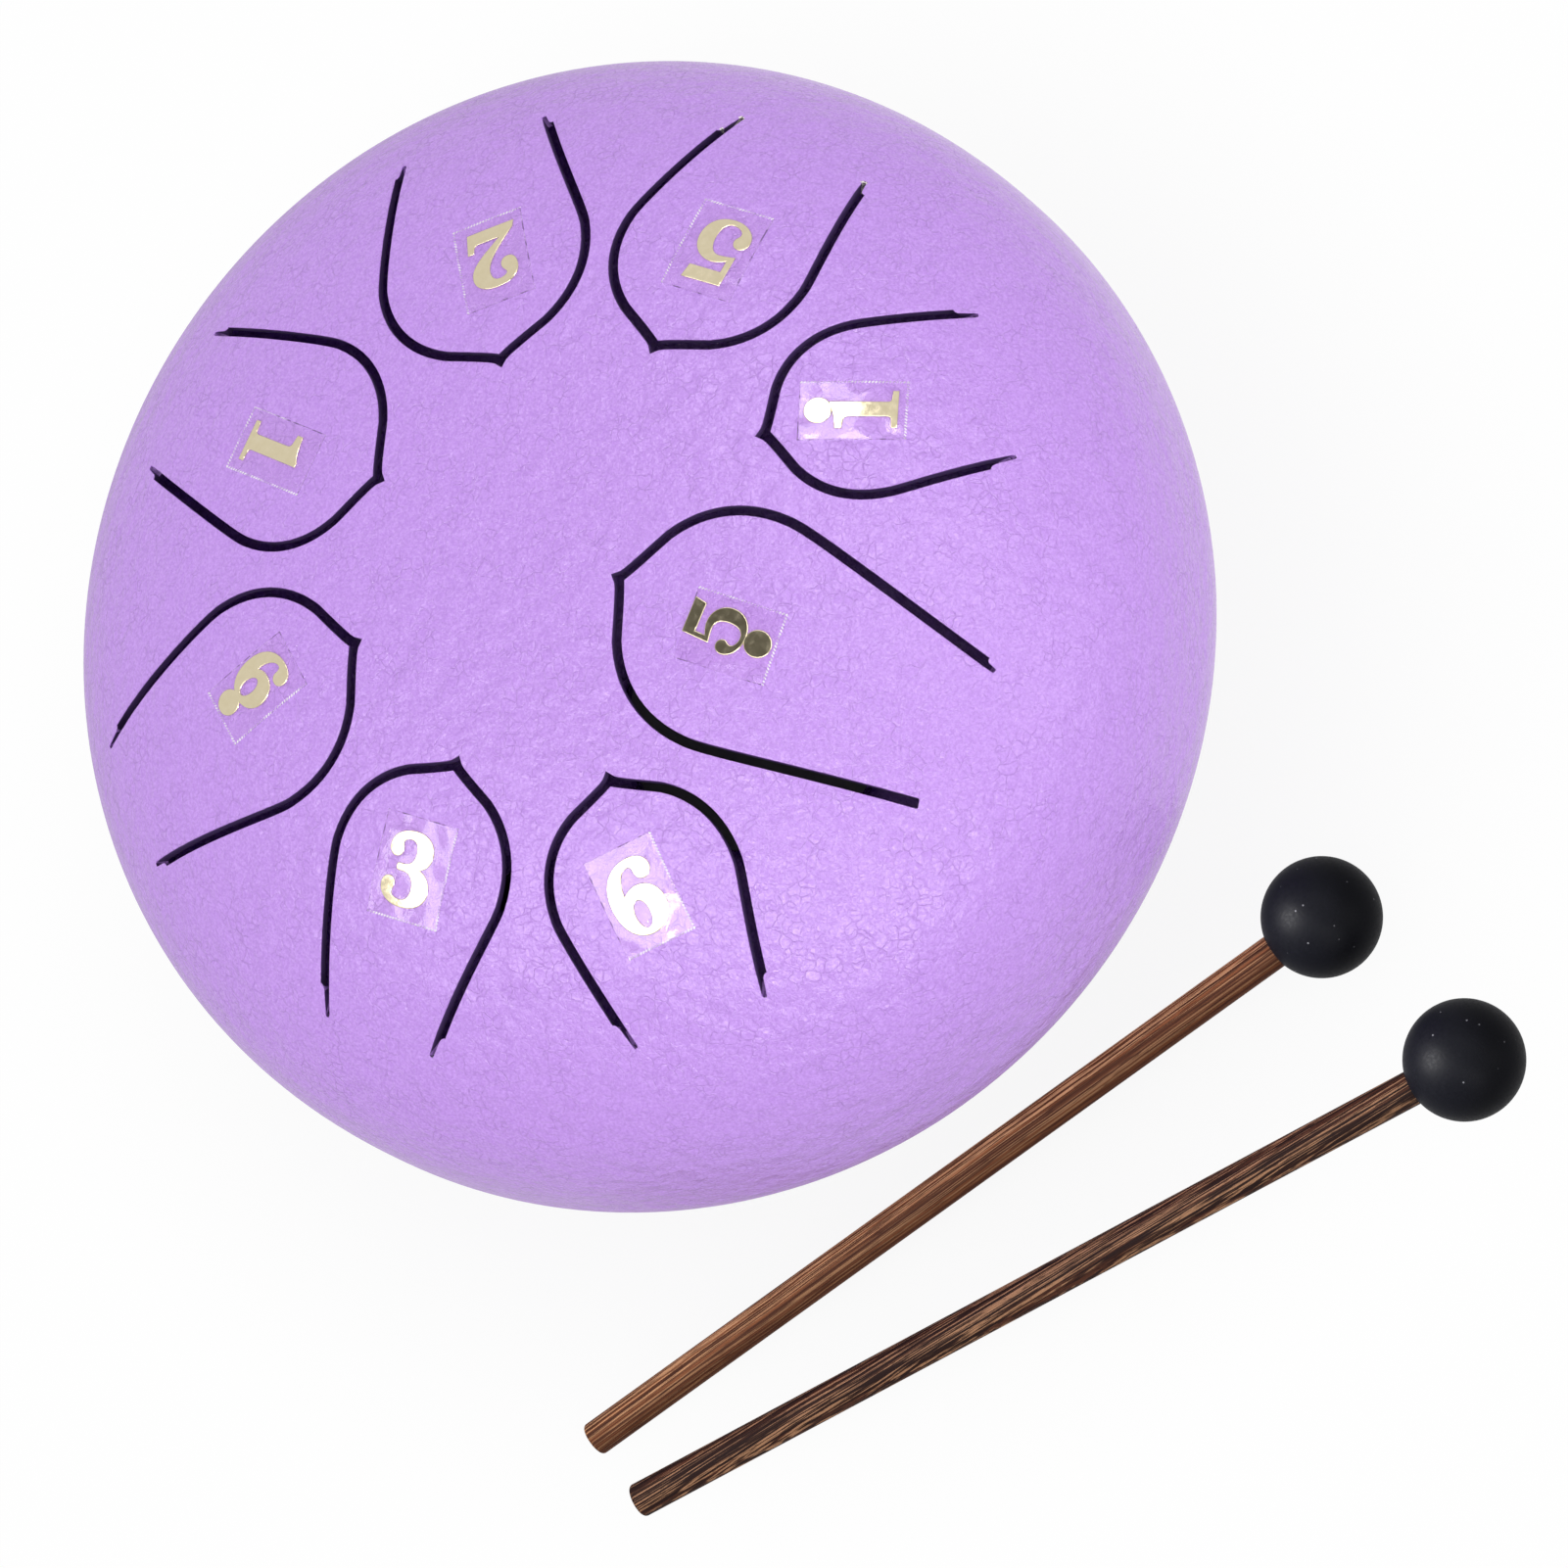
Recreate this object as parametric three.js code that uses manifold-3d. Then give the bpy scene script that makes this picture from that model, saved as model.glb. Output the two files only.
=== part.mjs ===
// A small steel tongue drum with note labels, rubber feet and its two mallets.
// Millimetres, +Z up. The set stands on z = 0 and the player sits on the -Y side.

import * as THREE from 'three';
import { mergeVertices } from 'three/addons/utils/BufferGeometryUtils.js';
import Module from 'manifold-3d';

const wasm = await Module();
wasm.setup();

// Pressed steel shells: each half is a superellipse turned about the drum's axis
const drumRadius = 77.5;
const domeHeight = 48.2;
const domeSidePower = 2.4;
const domeCrownPower = 2.95;
const bowlDepth = 41.3;
const bowlSidePower = 3.8;
const bowlBasePower = 1.8;
const sheetThickness = 1.5;
const soundHoleRadius = 20;
const weldHeight = 2.4;

// Gap left between pieces that are fixed to each other
const seamGap = 0.3;

// Slots that free the tongues
const slotWidth = 1.3;
const cuspSpur = 0.5;
const tuningCutWidth = 0.6;

// Shape of every slot, as shares of the tongue's own shoulder, width and leg
const neckRun = 0.215;
const neckRise = 0.507;
const neckLean = 0.0145;
const neckClimb = 0.0174;
const tipReach = 0.071;
const tipRise = 0.25;
const crownReach = 0.568;
const legStart = 0.085;
const legEnd = 0.76;
const legFlare = 1.1;

// Tongues, clockwise from the player's side. bearing and rimToRoot place the middle of the root,
// skew turns the tongue off the radius and shoulder runs from the tip to the widest place. spread
// and rootSpread are the angles that half the tongue takes up round the drum, there and at the
// root. cuts are the lengths of the fine tuning cuts that carry on from the two slot ends. The
// label is centred fromTip along the tongue and aside of its centre line.
const tongues = [
  {
    note: 'low_5', bearing: -90, rimToRoot: 16.8, skew: -1.9,
    length: 46.1, shoulder: 17.1, spread: 26.2, rootSpread: 9.4, cuts: [0, 1.4],
    label: { fromTip: 17.1, aside: -0.9, turn: 6.6, length: 12.3, width: 9.8 },
  },
  {
    note: '6', bearing: -136.3, rimToRoot: 16.5, skew: -3.2,
    length: 27.8, shoulder: 14.2, spread: 15, rootSpread: 9.4, cuts: [3.5, 2.8],
    label: { fromTip: 14.8, aside: -1, turn: 5.9, length: 13, width: 9.9 },
  },
  {
    note: '3', bearing: -177.1, rimToRoot: 16.5, skew: -3.7,
    length: 32.3, shoulder: 14.4, spread: 16.3, rootSpread: 8.4, cuts: [3.9, 3.1],
    label: { fromTip: 14.5, aside: -0.7, turn: 6.3, length: 13.3, width: 10.5 },
  },
  {
    note: 'low_6', bearing: 137.4, rimToRoot: 13.2, skew: -0.8,
    length: 38.8, shoulder: 16.5, spread: 19, rootSpread: 8.8, cuts: [2.9, 2],
    label: { fromTip: 15.3, aside: -1.6, turn: 7.9, length: 13.3, width: 8.7 },
  },
  {
    note: '1', bearing: 87, rimToRoot: 18.2, skew: 1.3,
    length: 35.6, shoulder: 15, spread: 20.4, rootSpread: 10.2, cuts: [2.3, 2],
    label: { fromTip: 16.8, aside: 1.9, turn: 0.3, length: 13.2, width: 8.9 },
  },
  {
    note: '2', bearing: 37, rimToRoot: 17.1, skew: 3.2,
    length: 33.8, shoulder: 15.5, spread: 19.1, rootSpread: 10.2, cuts: [1.7, 2.1],
    label: { fromTip: 14.5, aside: -1.6, turn: 1.4, length: 13.1, width: 9.8 },
  },
  {
    note: '5', bearing: -5.9, rimToRoot: 15.6, skew: 3,
    length: 30.2, shoulder: 14.7, spread: 16.2, rootSpread: 10, cuts: [1.8, 3.3],
    label: { fromTip: 15, aside: -0.1, turn: 7.3, length: 13, width: 10 },
  },
  {
    note: 'high_1', bearing: -46.1, rimToRoot: 16.8, skew: -4.6,
    length: 25.5, shoulder: 13.5, spread: 13.7, rootSpread: 10.1, cuts: [3.2, 2.7],
    label: { fromTip: 11.4, aside: 0, turn: -14.9, length: 13.5, width: 8.1 },
  },
];

// Clear film labels
const filmGap = 0.1;
const filmThickness = 0.2;

// Rubber feet, pushed into holes in the bowl
const footCircle = 42;
const footRadius = 6.5;
const footDrop = 4;
const footRound = 0.8;
const stemRadius = 2.2;
const barbRadius = 3.4;
const barbHeight = 2.6;
const barbTipRadius = 1.4;
const feet = [
  { name: 'foot_front', bearing: -90 },
  { name: 'foot_right', bearing: 30 },
  { name: 'foot_left', bearing: 150 },
];

// Mallets, lying on the table beside the drum. beside is how far the stick's axis lies outside the
// drum's widest circle, and along is how far the head lies past the place nearest to the drum.
const headRadius = 8.2;
const stickRadius = 2.4;
const stickChamfer = 0.4;
const boreDepth = 9;
const boreGap = 0.2;
const mallets = [
  { name: 'inner_mallet', bearing: -33.6, beside: -4.3, along: 51.3, tailToHeadCentre: 124.7 },
  { name: 'outer_mallet', bearing: -41.1, beside: 15.3, along: 69.9, tailToHeadCentre: 130.6 },
];

// Facet counts
const drumSides = 56;
const domeSteps = 14;
const bowlSteps = 9;
const slotSteps = 6;
const footSides = 18;
const stickSides = 16;
const headSides = 20;
const headSteps = 9;

// How far a cutter reaches past the piece that it cuts
const cutterReach = 2;
const weldTolerance = 1e-4;

const up = new THREE.Vector3(0, 0, 1);
const radians = THREE.MathUtils.degToRad;

function material(color, roughness, metalness = 0) {
  return new THREE.MeshStandardMaterial({ color, roughness, metalness });
}

const lilacPaint = () => material(0xc79cec, 0.5, 0.1);
const clearFilm = () => material(0xd9bdf2, 0.15);
const blackRubber = () => material(0x17171d, 0.65);
const brownWood = () => material(0x6e4226, 0.55);

// Closed geometry to a solid that can be cut and joined
function toSolid(geometry) {
  const bare = geometry.clone();
  bare.deleteAttribute('normal');
  bare.deleteAttribute('uv');
  const merged = mergeVertices(bare, weldTolerance);
  const corners = merged.index.array;
  const triVerts = [];
  for (let i = 0; i < corners.length; i += 3) {
    const [a, b, c] = corners.slice(i, i + 3);
    if (a !== b && b !== c && c !== a) triVerts.push(a, b, c);
  }
  return new wasm.Manifold(new wasm.Mesh({
    numProp: 3,
    vertProperties: merged.attributes.position.array,
    triVerts: Uint32Array.from(triVerts),
  }));
}

function toGeometry(solid) {
  const mesh = solid.getMesh();
  const geometry = new THREE.BufferGeometry();
  geometry.setAttribute('position', new THREE.BufferAttribute(mesh.vertProperties, 3));
  geometry.setIndex(new THREE.BufferAttribute(mesh.triVerts, 1));
  geometry.computeVertexNormals();
  return geometry;
}

function piece(name, solid, finish) {
  const mesh = new THREE.Mesh(toGeometry(solid), finish);
  mesh.name = name;
  return mesh;
}

// Turns a profile of (radius, height) points, listed anticlockwise, about the vertical axis
function turned(profile, sides) {
  const geometry = new THREE.LatheGeometry(profile, sides);
  geometry.rotateX(Math.PI / 2);
  return toSolid(geometry);
}

// Upright prism over an outline
function prism(outline, bottom, top) {
  const geometry = new THREE.ExtrudeGeometry(new THREE.Shape(outline), {
    depth: top - bottom,
    bevelEnabled: false,
  });
  geometry.translate(0, 0, bottom);
  return toSolid(geometry);
}

// Half of a superellipse: reach is its radius, rise its height (below zero for the bowl)
class Superellipse {
  constructor(reach, rise, sidePower, crownPower) {
    Object.assign(this, { reach, rise, sidePower, crownPower });
  }

  // Outward normal at a place on the curve
  normal(radius, height) {
    const { reach, rise, sidePower, crownPower } = this;
    const across = (sidePower / reach) * (radius / reach) ** (sidePower - 1);
    const along = (crownPower / rise) * Math.abs(height / rise) ** (crownPower - 1);
    return new THREE.Vector2(across, along).normalize();
  }

  heightAt(radius) {
    return this.rise * (1 - (radius / this.reach) ** this.sidePower) ** (1 / this.crownPower);
  }

  // Sweep is 0 on the axis and a quarter turn at the rim
  sweepAtRadius(radius) {
    return Math.asin((radius / this.reach) ** (this.sidePower / 2));
  }

  sweepAtHeight(height) {
    return Math.acos((height / this.rise) ** (this.crownPower / 2));
  }

  point(sweep, offset) {
    const radius = this.reach * Math.sin(sweep) ** (2 / this.sidePower);
    const height = this.rise * Math.abs(Math.cos(sweep)) ** (2 / this.crownPower);
    return new THREE.Vector2(radius, height).addScaledVector(this.normal(radius, height), offset);
  }

  // Points from one sweep to another, moved outward by an offset
  line(from, to, steps, offset) {
    const points = [];
    for (let i = 0; i <= steps; i += 1) {
      points.push(this.point(THREE.MathUtils.lerp(from, to, i / steps), offset));
    }
    return points;
  }
}

const dome = new Superellipse(drumRadius, domeHeight, domeSidePower, domeCrownPower);
const bowl = new Superellipse(drumRadius, -bowlDepth, bowlSidePower, bowlBasePower);
const seamHeight = weldHeight / 2 + seamGap;

// A layer that follows the dome from the crown down to the seam, between two offsets
function domeLayer(inner, outer) {
  const edge = dome.sweepAtHeight(seamHeight);
  return turned([
    ...dome.line(0, edge, domeSteps, inner),
    ...dome.line(edge, 0, domeSteps, outer),
  ], drumSides);
}

// Offsets an open line to its left, with mitred corners
function offsetLine(line, distance) {
  const left = line.slice(1).map((point, i) => {
    const step = point.clone().sub(line[i]).normalize();
    return new THREE.Vector2(-step.y, step.x);
  });
  return line.map((point, i) => {
    const before = left[Math.max(i - 1, 0)];
    const after = left[Math.min(i, left.length - 1)];
    const mitre = before.clone().add(after).normalize();
    return point.clone().addScaledVector(mitre, distance / mitre.dot(before));
  });
}

// Moves both ends of a line along its end segments to a root line across the tongue
function trimToRoot(line, root) {
  const moved = (end, next) => {
    const step = end.clone().sub(next);
    return end.clone().addScaledVector(step, (root - end.x) / step.x);
  };
  const first = moved(line[0], line[1]);
  const last = moved(line.at(-1), line.at(-2));
  return [first, ...line.slice(1, -1), last];
}

// Centre line of a slot in the tongue's own plan: x runs from the tip to the root, y to its left.
// It starts at the right-hand root, rounds the cusp at the tip and ends at the left-hand root.
function slotCentreLine({ rimToRoot, length, shoulder, spread, rootSpread }) {
  const rootRadius = drumRadius - rimToRoot;
  const shoulderRadius = rootRadius - length + shoulder;
  const halfWidth = shoulderRadius * Math.tan(radians(spread));
  const halfRoot = rootRadius * Math.tan(radians(rootSpread));
  const neck = new THREE.Vector2(neckRun * shoulder, neckRise * halfWidth);
  const lean = new THREE.Vector2(neckLean * shoulder, neckClimb * halfWidth);
  const leg = length - shoulder;
  const path = new THREE.Path();
  path.moveTo(0, 0);
  path.bezierCurveTo(
    tipReach * shoulder, tipRise * neck.y,
    neck.x - lean.x, neck.y - lean.y,
    neck.x, neck.y,
  );
  path.bezierCurveTo(
    neck.x + lean.x, neck.y + lean.y,
    shoulder * (1 - crownReach), halfWidth,
    shoulder, halfWidth,
  );
  path.bezierCurveTo(
    shoulder + legStart * leg, halfWidth,
    length - legEnd * leg, halfRoot + legFlare * legEnd * (halfWidth - halfRoot),
    length, halfRoot,
  );
  const leftHalf = path.getPoints(slotSteps);
  const rightHalf = leftHalf.slice(1).map(({ x, y }) => new THREE.Vector2(x, -y));
  return [...rightHalf.reverse(), ...leftHalf];
}

// Where a tongue lies in the drum's plan
function tonguePlan({ bearing, rimToRoot, skew, length }) {
  const rootRadius = drumRadius - rimToRoot;
  const rootAngle = radians(bearing);
  const root = new THREE.Vector2(Math.cos(rootAngle), Math.sin(rootAngle)).multiplyScalar(rootRadius);
  const angle = radians(bearing + skew);
  const place = (point) => new THREE.Vector2(point.x - length, point.y)
    .rotateAround(new THREE.Vector2(), angle)
    .add(root);
  return { root, angle, place };
}

// Fine saw cut that carries on from the end of a slot
function tuningCut(end, next, cutLength) {
  const step = end.clone().sub(next).normalize();
  const half = new THREE.Vector2(-step.y, step.x).multiplyScalar(tuningCutWidth / 2);
  const start = end.clone().addScaledVector(step, -tuningCutWidth);
  const stop = end.clone().addScaledVector(step, seamGap + cutLength);
  return [
    start.clone().sub(half),
    stop.clone().sub(half),
    stop.clone().add(half),
    start.clone().add(half),
  ];
}

const cutterTop = domeHeight + cutterReach;

function tongueCutters(tongue) {
  const { place } = tonguePlan(tongue);
  const line = slotCentreLine(tongue);
  const cusp = (line.length - 1) / 2;
  const outer = trimToRoot(offsetLine(line, slotWidth / 2), tongue.length + seamGap);
  outer[cusp].x -= cuspSpur;
  const outlines = [outer];
  const ends = [[line[0], line[1]], [line.at(-1), line.at(-2)]];
  ends.forEach(([end, next], i) => {
    if (tongue.cuts[i] > 0) outlines.push(tuningCut(end, next, tongue.cuts[i]));
  });
  return outlines.map((outline) => prism(outline.map(place), 0, cutterTop));
}

function tongueBlank(tongue) {
  const { place } = tonguePlan(tongue);
  const inner = trimToRoot(offsetLine(slotCentreLine(tongue), -slotWidth / 2), tongue.length);
  return prism(inner.map(place), 0, cutterTop);
}

function labelBlank(tongue) {
  const { place } = tonguePlan(tongue);
  const { fromTip, aside, turn, length, width } = tongue.label;
  const corners = [[-1, -1], [1, -1], [1, 1], [-1, 1]].map(([x, y]) => (
    new THREE.Vector2((x * length) / 2, (y * width) / 2)
      .rotateAround(new THREE.Vector2(), radians(turn))
      .add(new THREE.Vector2(fromTip, aside))
  ));
  return prism(corners.map(place), 0, cutterTop);
}

// Line about which a tongue flexes: across its root, in the middle of the sheet
function flexLine(tongue) {
  const { root, angle } = tonguePlan(tongue);
  const radius = root.length();
  const height = dome.heightAt(radius);
  const middle = new THREE.Vector2(radius, height)
    .addScaledVector(dome.normal(radius, height), -sheetThickness / 2);
  const point = root.clone().setLength(middle.x);
  return {
    point: new THREE.Vector3(point.x, point.y, middle.y),
    axis: new THREE.Vector3(-Math.sin(angle), Math.cos(angle), 0),
  };
}

// Upper half: the dome, its tongues and their labels
function upperHalf() {
  const group = new THREE.Group();
  const domeSheet = domeLayer(-sheetThickness, 0);
  const filmLayer = domeLayer(filmGap, filmGap + filmThickness);
  let shell = domeSheet;
  for (const tongue of tongues) {
    for (const cutter of tongueCutters(tongue)) shell = shell.subtract(cutter);
  }
  group.add(piece('upper_shell', shell, lilacPaint()));
  for (const tongue of tongues) {
    const plate = piece(`tongue_${tongue.note}`, domeSheet.intersect(tongueBlank(tongue)), lilacPaint());
    plate.userData.flexLine = flexLine(tongue);
    const film = piece(`label_${tongue.note}`, filmLayer.intersect(labelBlank(tongue)), clearFilm());
    group.add(plate, film);
  }
  return group;
}

// Weld that joins the halves at the widest circle, ground flush
function rimWeld() {
  const inside = drumRadius - sheetThickness;
  const half = weldHeight / 2;
  const corners = [[inside, -half], [drumRadius, -half], [drumRadius, half], [inside, half], [inside, -half]];
  const section = corners.map(([radius, height]) => new THREE.Vector2(radius, height));
  return piece('rim_weld', turned(section, drumSides), lilacPaint());
}

const stemHoleRadius = stemRadius + seamGap;
const floor = -(bowlDepth + footDrop);

function placedOnFootCircle(solid, bearing) {
  const angle = radians(bearing);
  return solid.translate([footCircle * Math.cos(angle), footCircle * Math.sin(angle), 0]);
}

function cylinder(radius, bottom, top, sides) {
  return turned([
    new THREE.Vector2(0, bottom),
    new THREE.Vector2(radius, bottom),
    new THREE.Vector2(radius, top),
    new THREE.Vector2(0, top),
  ], sides);
}

function lowerShell() {
  const from = bowl.sweepAtHeight(-seamHeight);
  const to = bowl.sweepAtRadius(soundHoleRadius);
  const outside = bowl.line(to, from, bowlSteps, 0);
  const inside = bowl.line(from, to, bowlSteps, -sheetThickness);
  let shell = turned([...outside, ...inside, outside[0]], drumSides);
  for (const { bearing } of feet) {
    const drill = cylinder(stemHoleRadius, floor, 0, footSides);
    shell = shell.subtract(placedOnFootCircle(drill, bearing));
  }
  return piece('lower_shell', shell, lilacPaint());
}

// Foot: a bumper shaped to the bowl, a stem through the hole and a barb inside
function rubberFoot({ name, bearing }) {
  const bumperTop = bowl.heightAt(footCircle + footRadius);
  const bumper = turned([
    new THREE.Vector2(0, floor),
    new THREE.Vector2(footRadius - footRound, floor),
    new THREE.Vector2(footRadius, floor + footRound),
    new THREE.Vector2(footRadius, bumperTop),
    new THREE.Vector2(0, bumperTop),
  ], footSides);
  const bowlRoom = turned([
    ...bowl.line(0, Math.PI / 2, bowlSteps, seamGap),
    new THREE.Vector2(0, 0),
  ], drumSides);
  const barbReach = footCircle + barbRadius;
  const slope = -bowl.normal(barbReach, bowl.heightAt(barbReach)).y;
  const barbBase = bowl.heightAt(barbReach) + sheetThickness / slope + seamGap;
  const stem = turned([
    new THREE.Vector2(0, floor + footRound),
    new THREE.Vector2(stemRadius, floor + footRound),
    new THREE.Vector2(stemRadius, barbBase),
    new THREE.Vector2(barbRadius, barbBase),
    new THREE.Vector2(barbTipRadius, barbBase + barbHeight),
    new THREE.Vector2(0, barbBase + barbHeight),
  ], footSides);
  const seated = placedOnFootCircle(bumper, bearing).subtract(bowlRoom);
  return piece(name, seated.add(placedOnFootCircle(stem, bearing)), blackRubber());
}

function drum() {
  const group = new THREE.Group();
  group.add(upperHalf(), rimWeld(), lowerShell(), ...feet.map(rubberFoot));
  group.position.z = -floor;
  return group;
}

// Mallet about its head's centre, with the stick hanging down its own axis
function mallet({ name, bearing, beside, along, tailToHeadCentre }) {
  const boreRadius = stickRadius + boreGap;
  const boreEnd = boreDepth - headRadius;
  const tail = -tailToHeadCentre;
  const mouth = Math.asin(boreRadius / headRadius);
  const surface = [];
  for (let i = 0; i <= headSteps; i += 1) {
    const angle = THREE.MathUtils.lerp(mouth, Math.PI, i / headSteps);
    surface.push(new THREE.Vector2(headRadius * Math.sin(angle), -headRadius * Math.cos(angle)));
  }
  surface[headSteps].x = 0;
  const head = turned([
    new THREE.Vector2(0, boreEnd + boreGap),
    new THREE.Vector2(boreRadius, boreEnd + boreGap),
    ...surface,
  ], headSides);
  const stick = turned([
    new THREE.Vector2(0, tail),
    new THREE.Vector2(stickRadius - stickChamfer, tail),
    new THREE.Vector2(stickRadius, tail + stickChamfer),
    new THREE.Vector2(stickRadius, boreEnd),
    new THREE.Vector2(0, boreEnd),
  ], stickSides);

  // The head and the tail's lower edge both touch the table
  const restLength = tailToHeadCentre - stickChamfer;
  const reach = Math.hypot(restLength, stickRadius);
  const tilt = Math.asin(headRadius / reach) - Math.atan2(stickRadius, restLength);
  const heading = new THREE.Vector2(Math.cos(radians(bearing)), Math.sin(radians(bearing)));
  const aside = new THREE.Vector2(heading.y, -heading.x);
  const head2d = heading.clone().multiplyScalar(along).addScaledVector(aside, drumRadius + beside);
  const axis = new THREE.Vector3(heading.x * Math.cos(tilt), heading.y * Math.cos(tilt), Math.sin(tilt));
  const group = new THREE.Group();
  group.add(
    piece(`${name}_stick`, stick, brownWood()),
    piece(`${name}_head`, head, blackRubber()),
  );
  group.quaternion.setFromUnitVectors(up, axis);
  group.position.set(head2d.x, head2d.y, headRadius);
  return group;
}

// The whole set, with its origin in the middle of its footprint on the table
const tongueDrum = new THREE.Group();
tongueDrum.add(drum(), ...mallets.map(mallet));
const footprint = new THREE.Box3().setFromObject(tongueDrum, true).getCenter(new THREE.Vector3());
tongueDrum.position.set(-footprint.x, -footprint.y, 0);

export default tongueDrum;
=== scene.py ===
import math
import bpy
import numpy as np
from mathutils import Matrix, Vector
from mathutils.geometry import delaunay_2d_cdt


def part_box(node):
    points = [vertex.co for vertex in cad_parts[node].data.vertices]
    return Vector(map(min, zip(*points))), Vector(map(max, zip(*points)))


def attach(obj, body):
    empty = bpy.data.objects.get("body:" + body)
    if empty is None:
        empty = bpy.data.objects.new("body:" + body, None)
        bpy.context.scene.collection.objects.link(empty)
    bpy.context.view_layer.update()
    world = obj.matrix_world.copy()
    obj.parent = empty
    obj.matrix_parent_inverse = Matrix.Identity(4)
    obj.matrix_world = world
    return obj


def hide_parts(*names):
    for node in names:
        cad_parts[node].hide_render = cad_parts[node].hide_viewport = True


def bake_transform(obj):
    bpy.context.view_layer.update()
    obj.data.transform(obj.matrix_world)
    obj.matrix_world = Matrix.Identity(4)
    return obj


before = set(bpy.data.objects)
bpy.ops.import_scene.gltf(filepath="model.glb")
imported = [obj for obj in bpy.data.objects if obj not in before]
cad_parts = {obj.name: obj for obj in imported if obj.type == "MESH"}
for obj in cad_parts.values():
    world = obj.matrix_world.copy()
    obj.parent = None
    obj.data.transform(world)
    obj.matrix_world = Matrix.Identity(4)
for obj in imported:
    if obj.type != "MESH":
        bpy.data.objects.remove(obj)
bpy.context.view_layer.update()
mm = 0.001


# short ways to add nodes

def addNode(tree, kind, sockets=None, **settings):
    node = tree.nodes.new(kind)
    for key, value in settings.items():
        setattr(node, key, value)
    for key, value in (sockets or {}).items():
        if isinstance(value, bpy.types.NodeSocket):
            tree.links.new(value, node.inputs[key])
        else:
            node.inputs[key].default_value = value
    return node


def feed(tree, sockets, sources):
    for key, source in sources.items():
        tree.links.new(source, sockets[key])


def sumNode(tree, operation, first, second=0.0, third=0.0):
    sockets = {0: first, 1: second, 2: third}
    return addNode(tree, "ShaderNodeMath", sockets, operation=operation).outputs[0]


def times(tree, first, second):
    return sumNode(tree, "MULTIPLY", first, second)


def larger(tree, first, second):
    return sumNode(tree, "MAXIMUM", first, second)


def moveNode(tree, operation, first, second):
    return addNode(tree, "ShaderNodeVectorMath", {0: first, 1: second}, operation=operation).outputs[0]


def ramp(tree, value, low, high, toLow=0.0, toHigh=1.0):
    sockets = {"Value": value, "From Min": low, "From Max": high, "To Min": toLow, "To Max": toHigh}
    return addNode(tree, "ShaderNodeMapRange", sockets, interpolation_type="SMOOTHSTEP").outputs[0]


def mixColour(tree, share, first, second):
    sockets = {0: share, 6: first, 7: second}
    return addNode(tree, "ShaderNodeMix", sockets, data_type="RGBA").outputs[2]


def noise(tree, vector, scale, detail=2.0, roughness=0.5):
    sockets = {"Vector": vector, "Scale": scale, "Detail": detail, "Roughness": roughness}
    return addNode(tree, "ShaderNodeTexNoise", sockets).outputs["Fac"]


def edgeLines(tree, vector, scale, width):  # thin lines between irregular cells
    sockets = {"Vector": vector, "Scale": scale}
    cells = addNode(tree, "ShaderNodeTexVoronoi", sockets, feature="DISTANCE_TO_EDGE").outputs["Distance"]
    return ramp(tree, cells, 0.0, width, 1.0, 0.0)


def bumpFrom(tree, height, strength, distance):
    sockets = {"Strength": strength, "Distance": distance, "Height": height}
    return addNode(tree, "ShaderNodeBump", sockets).outputs[0]


def newGroup(name, inputs, outputs):  # every group takes a place; the rest are plain values
    tree = bpy.data.node_groups.new(name, "ShaderNodeTree")
    tree.interface.new_socket("Place", in_out="INPUT", socket_type="NodeSocketVector")
    for label, value in inputs.items():
        socket = tree.interface.new_socket(label, in_out="INPUT", socket_type="NodeSocketFloat")
        socket.default_value = value
    for label in outputs:
        tree.interface.new_socket(label, in_out="OUTPUT", socket_type="NodeSocketFloat")
    return tree, tree.nodes.new("NodeGroupInput").outputs, tree.nodes.new("NodeGroupOutput").inputs


def useGroup(tree, group, sockets):
    return addNode(tree, "ShaderNodeGroup", sockets, node_tree=group).outputs


def newMaterial(name, sockets):
    material = bpy.data.materials.new(name)
    material.use_nodes = True
    tree = material.node_tree
    shader = tree.nodes["Principled BSDF"].inputs
    for key, value in sockets.items():
        shader[key].default_value = value
    place = tree.nodes.new("ShaderNodeTexCoord").outputs["Object"]
    return material, tree, shader, place


# pebbled skin of powder paint and moulded rubber: fine grains, broken creases
pebble = {
    "swirlScale": 620.0, "swirl": 0.0015, "patchScale": 240.0, "patches": (0.38, 0.60, 0.10, 1.0),
    "wrinkles": 2.1, "facets": 1.3, "swells": 0.5,  # how much finer than the creases
    "creaseWidth": 0.10, "wrinkleWidth": 0.17, "wrinkleShare": 0.55, "wrinkleLoss": 0.4,
    "grains": (4.0, 0.68),  # detail and roughness
    "grainHeight": 0.18, "facetHeight": 0.9, "swellHeight": 3.2, "creaseHeight": -0.36,
}
inputs, outputs = {"Grain": 900.0, "Crease": 380.0}, ("Height", "Creases", "Grains")
tree, given, made = newGroup("pebbleSkin", inputs, outputs)
pebbleGroup = tree
sockets = {"Vector": given["Place"], "Scale": pebble["swirlScale"], "Detail": 2.0}
swirl = addNode(tree, "ShaderNodeTexNoise", sockets).outputs["Color"]
swirl = moveNode(tree, "SUBTRACT", swirl, (0.5, 0.5, 0.5))
sockets = {0: swirl, "Scale": pebble["swirl"]}
swirl = addNode(tree, "ShaderNodeVectorMath", sockets, operation="SCALE").outputs[0]
bent = moveNode(tree, "ADD", given["Place"], swirl)
patches = ramp(tree, noise(tree, given["Place"], pebble["patchScale"]), *pebble["patches"])
creases = times(tree, edgeLines(tree, bent, given["Crease"], pebble["creaseWidth"]), patches)
finer = {key: times(tree, given["Crease"], pebble[key]) for key in ("wrinkles", "facets", "swells")}
wrinkles = edgeLines(tree, bent, finer["wrinkles"], pebble["wrinkleWidth"])
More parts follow.
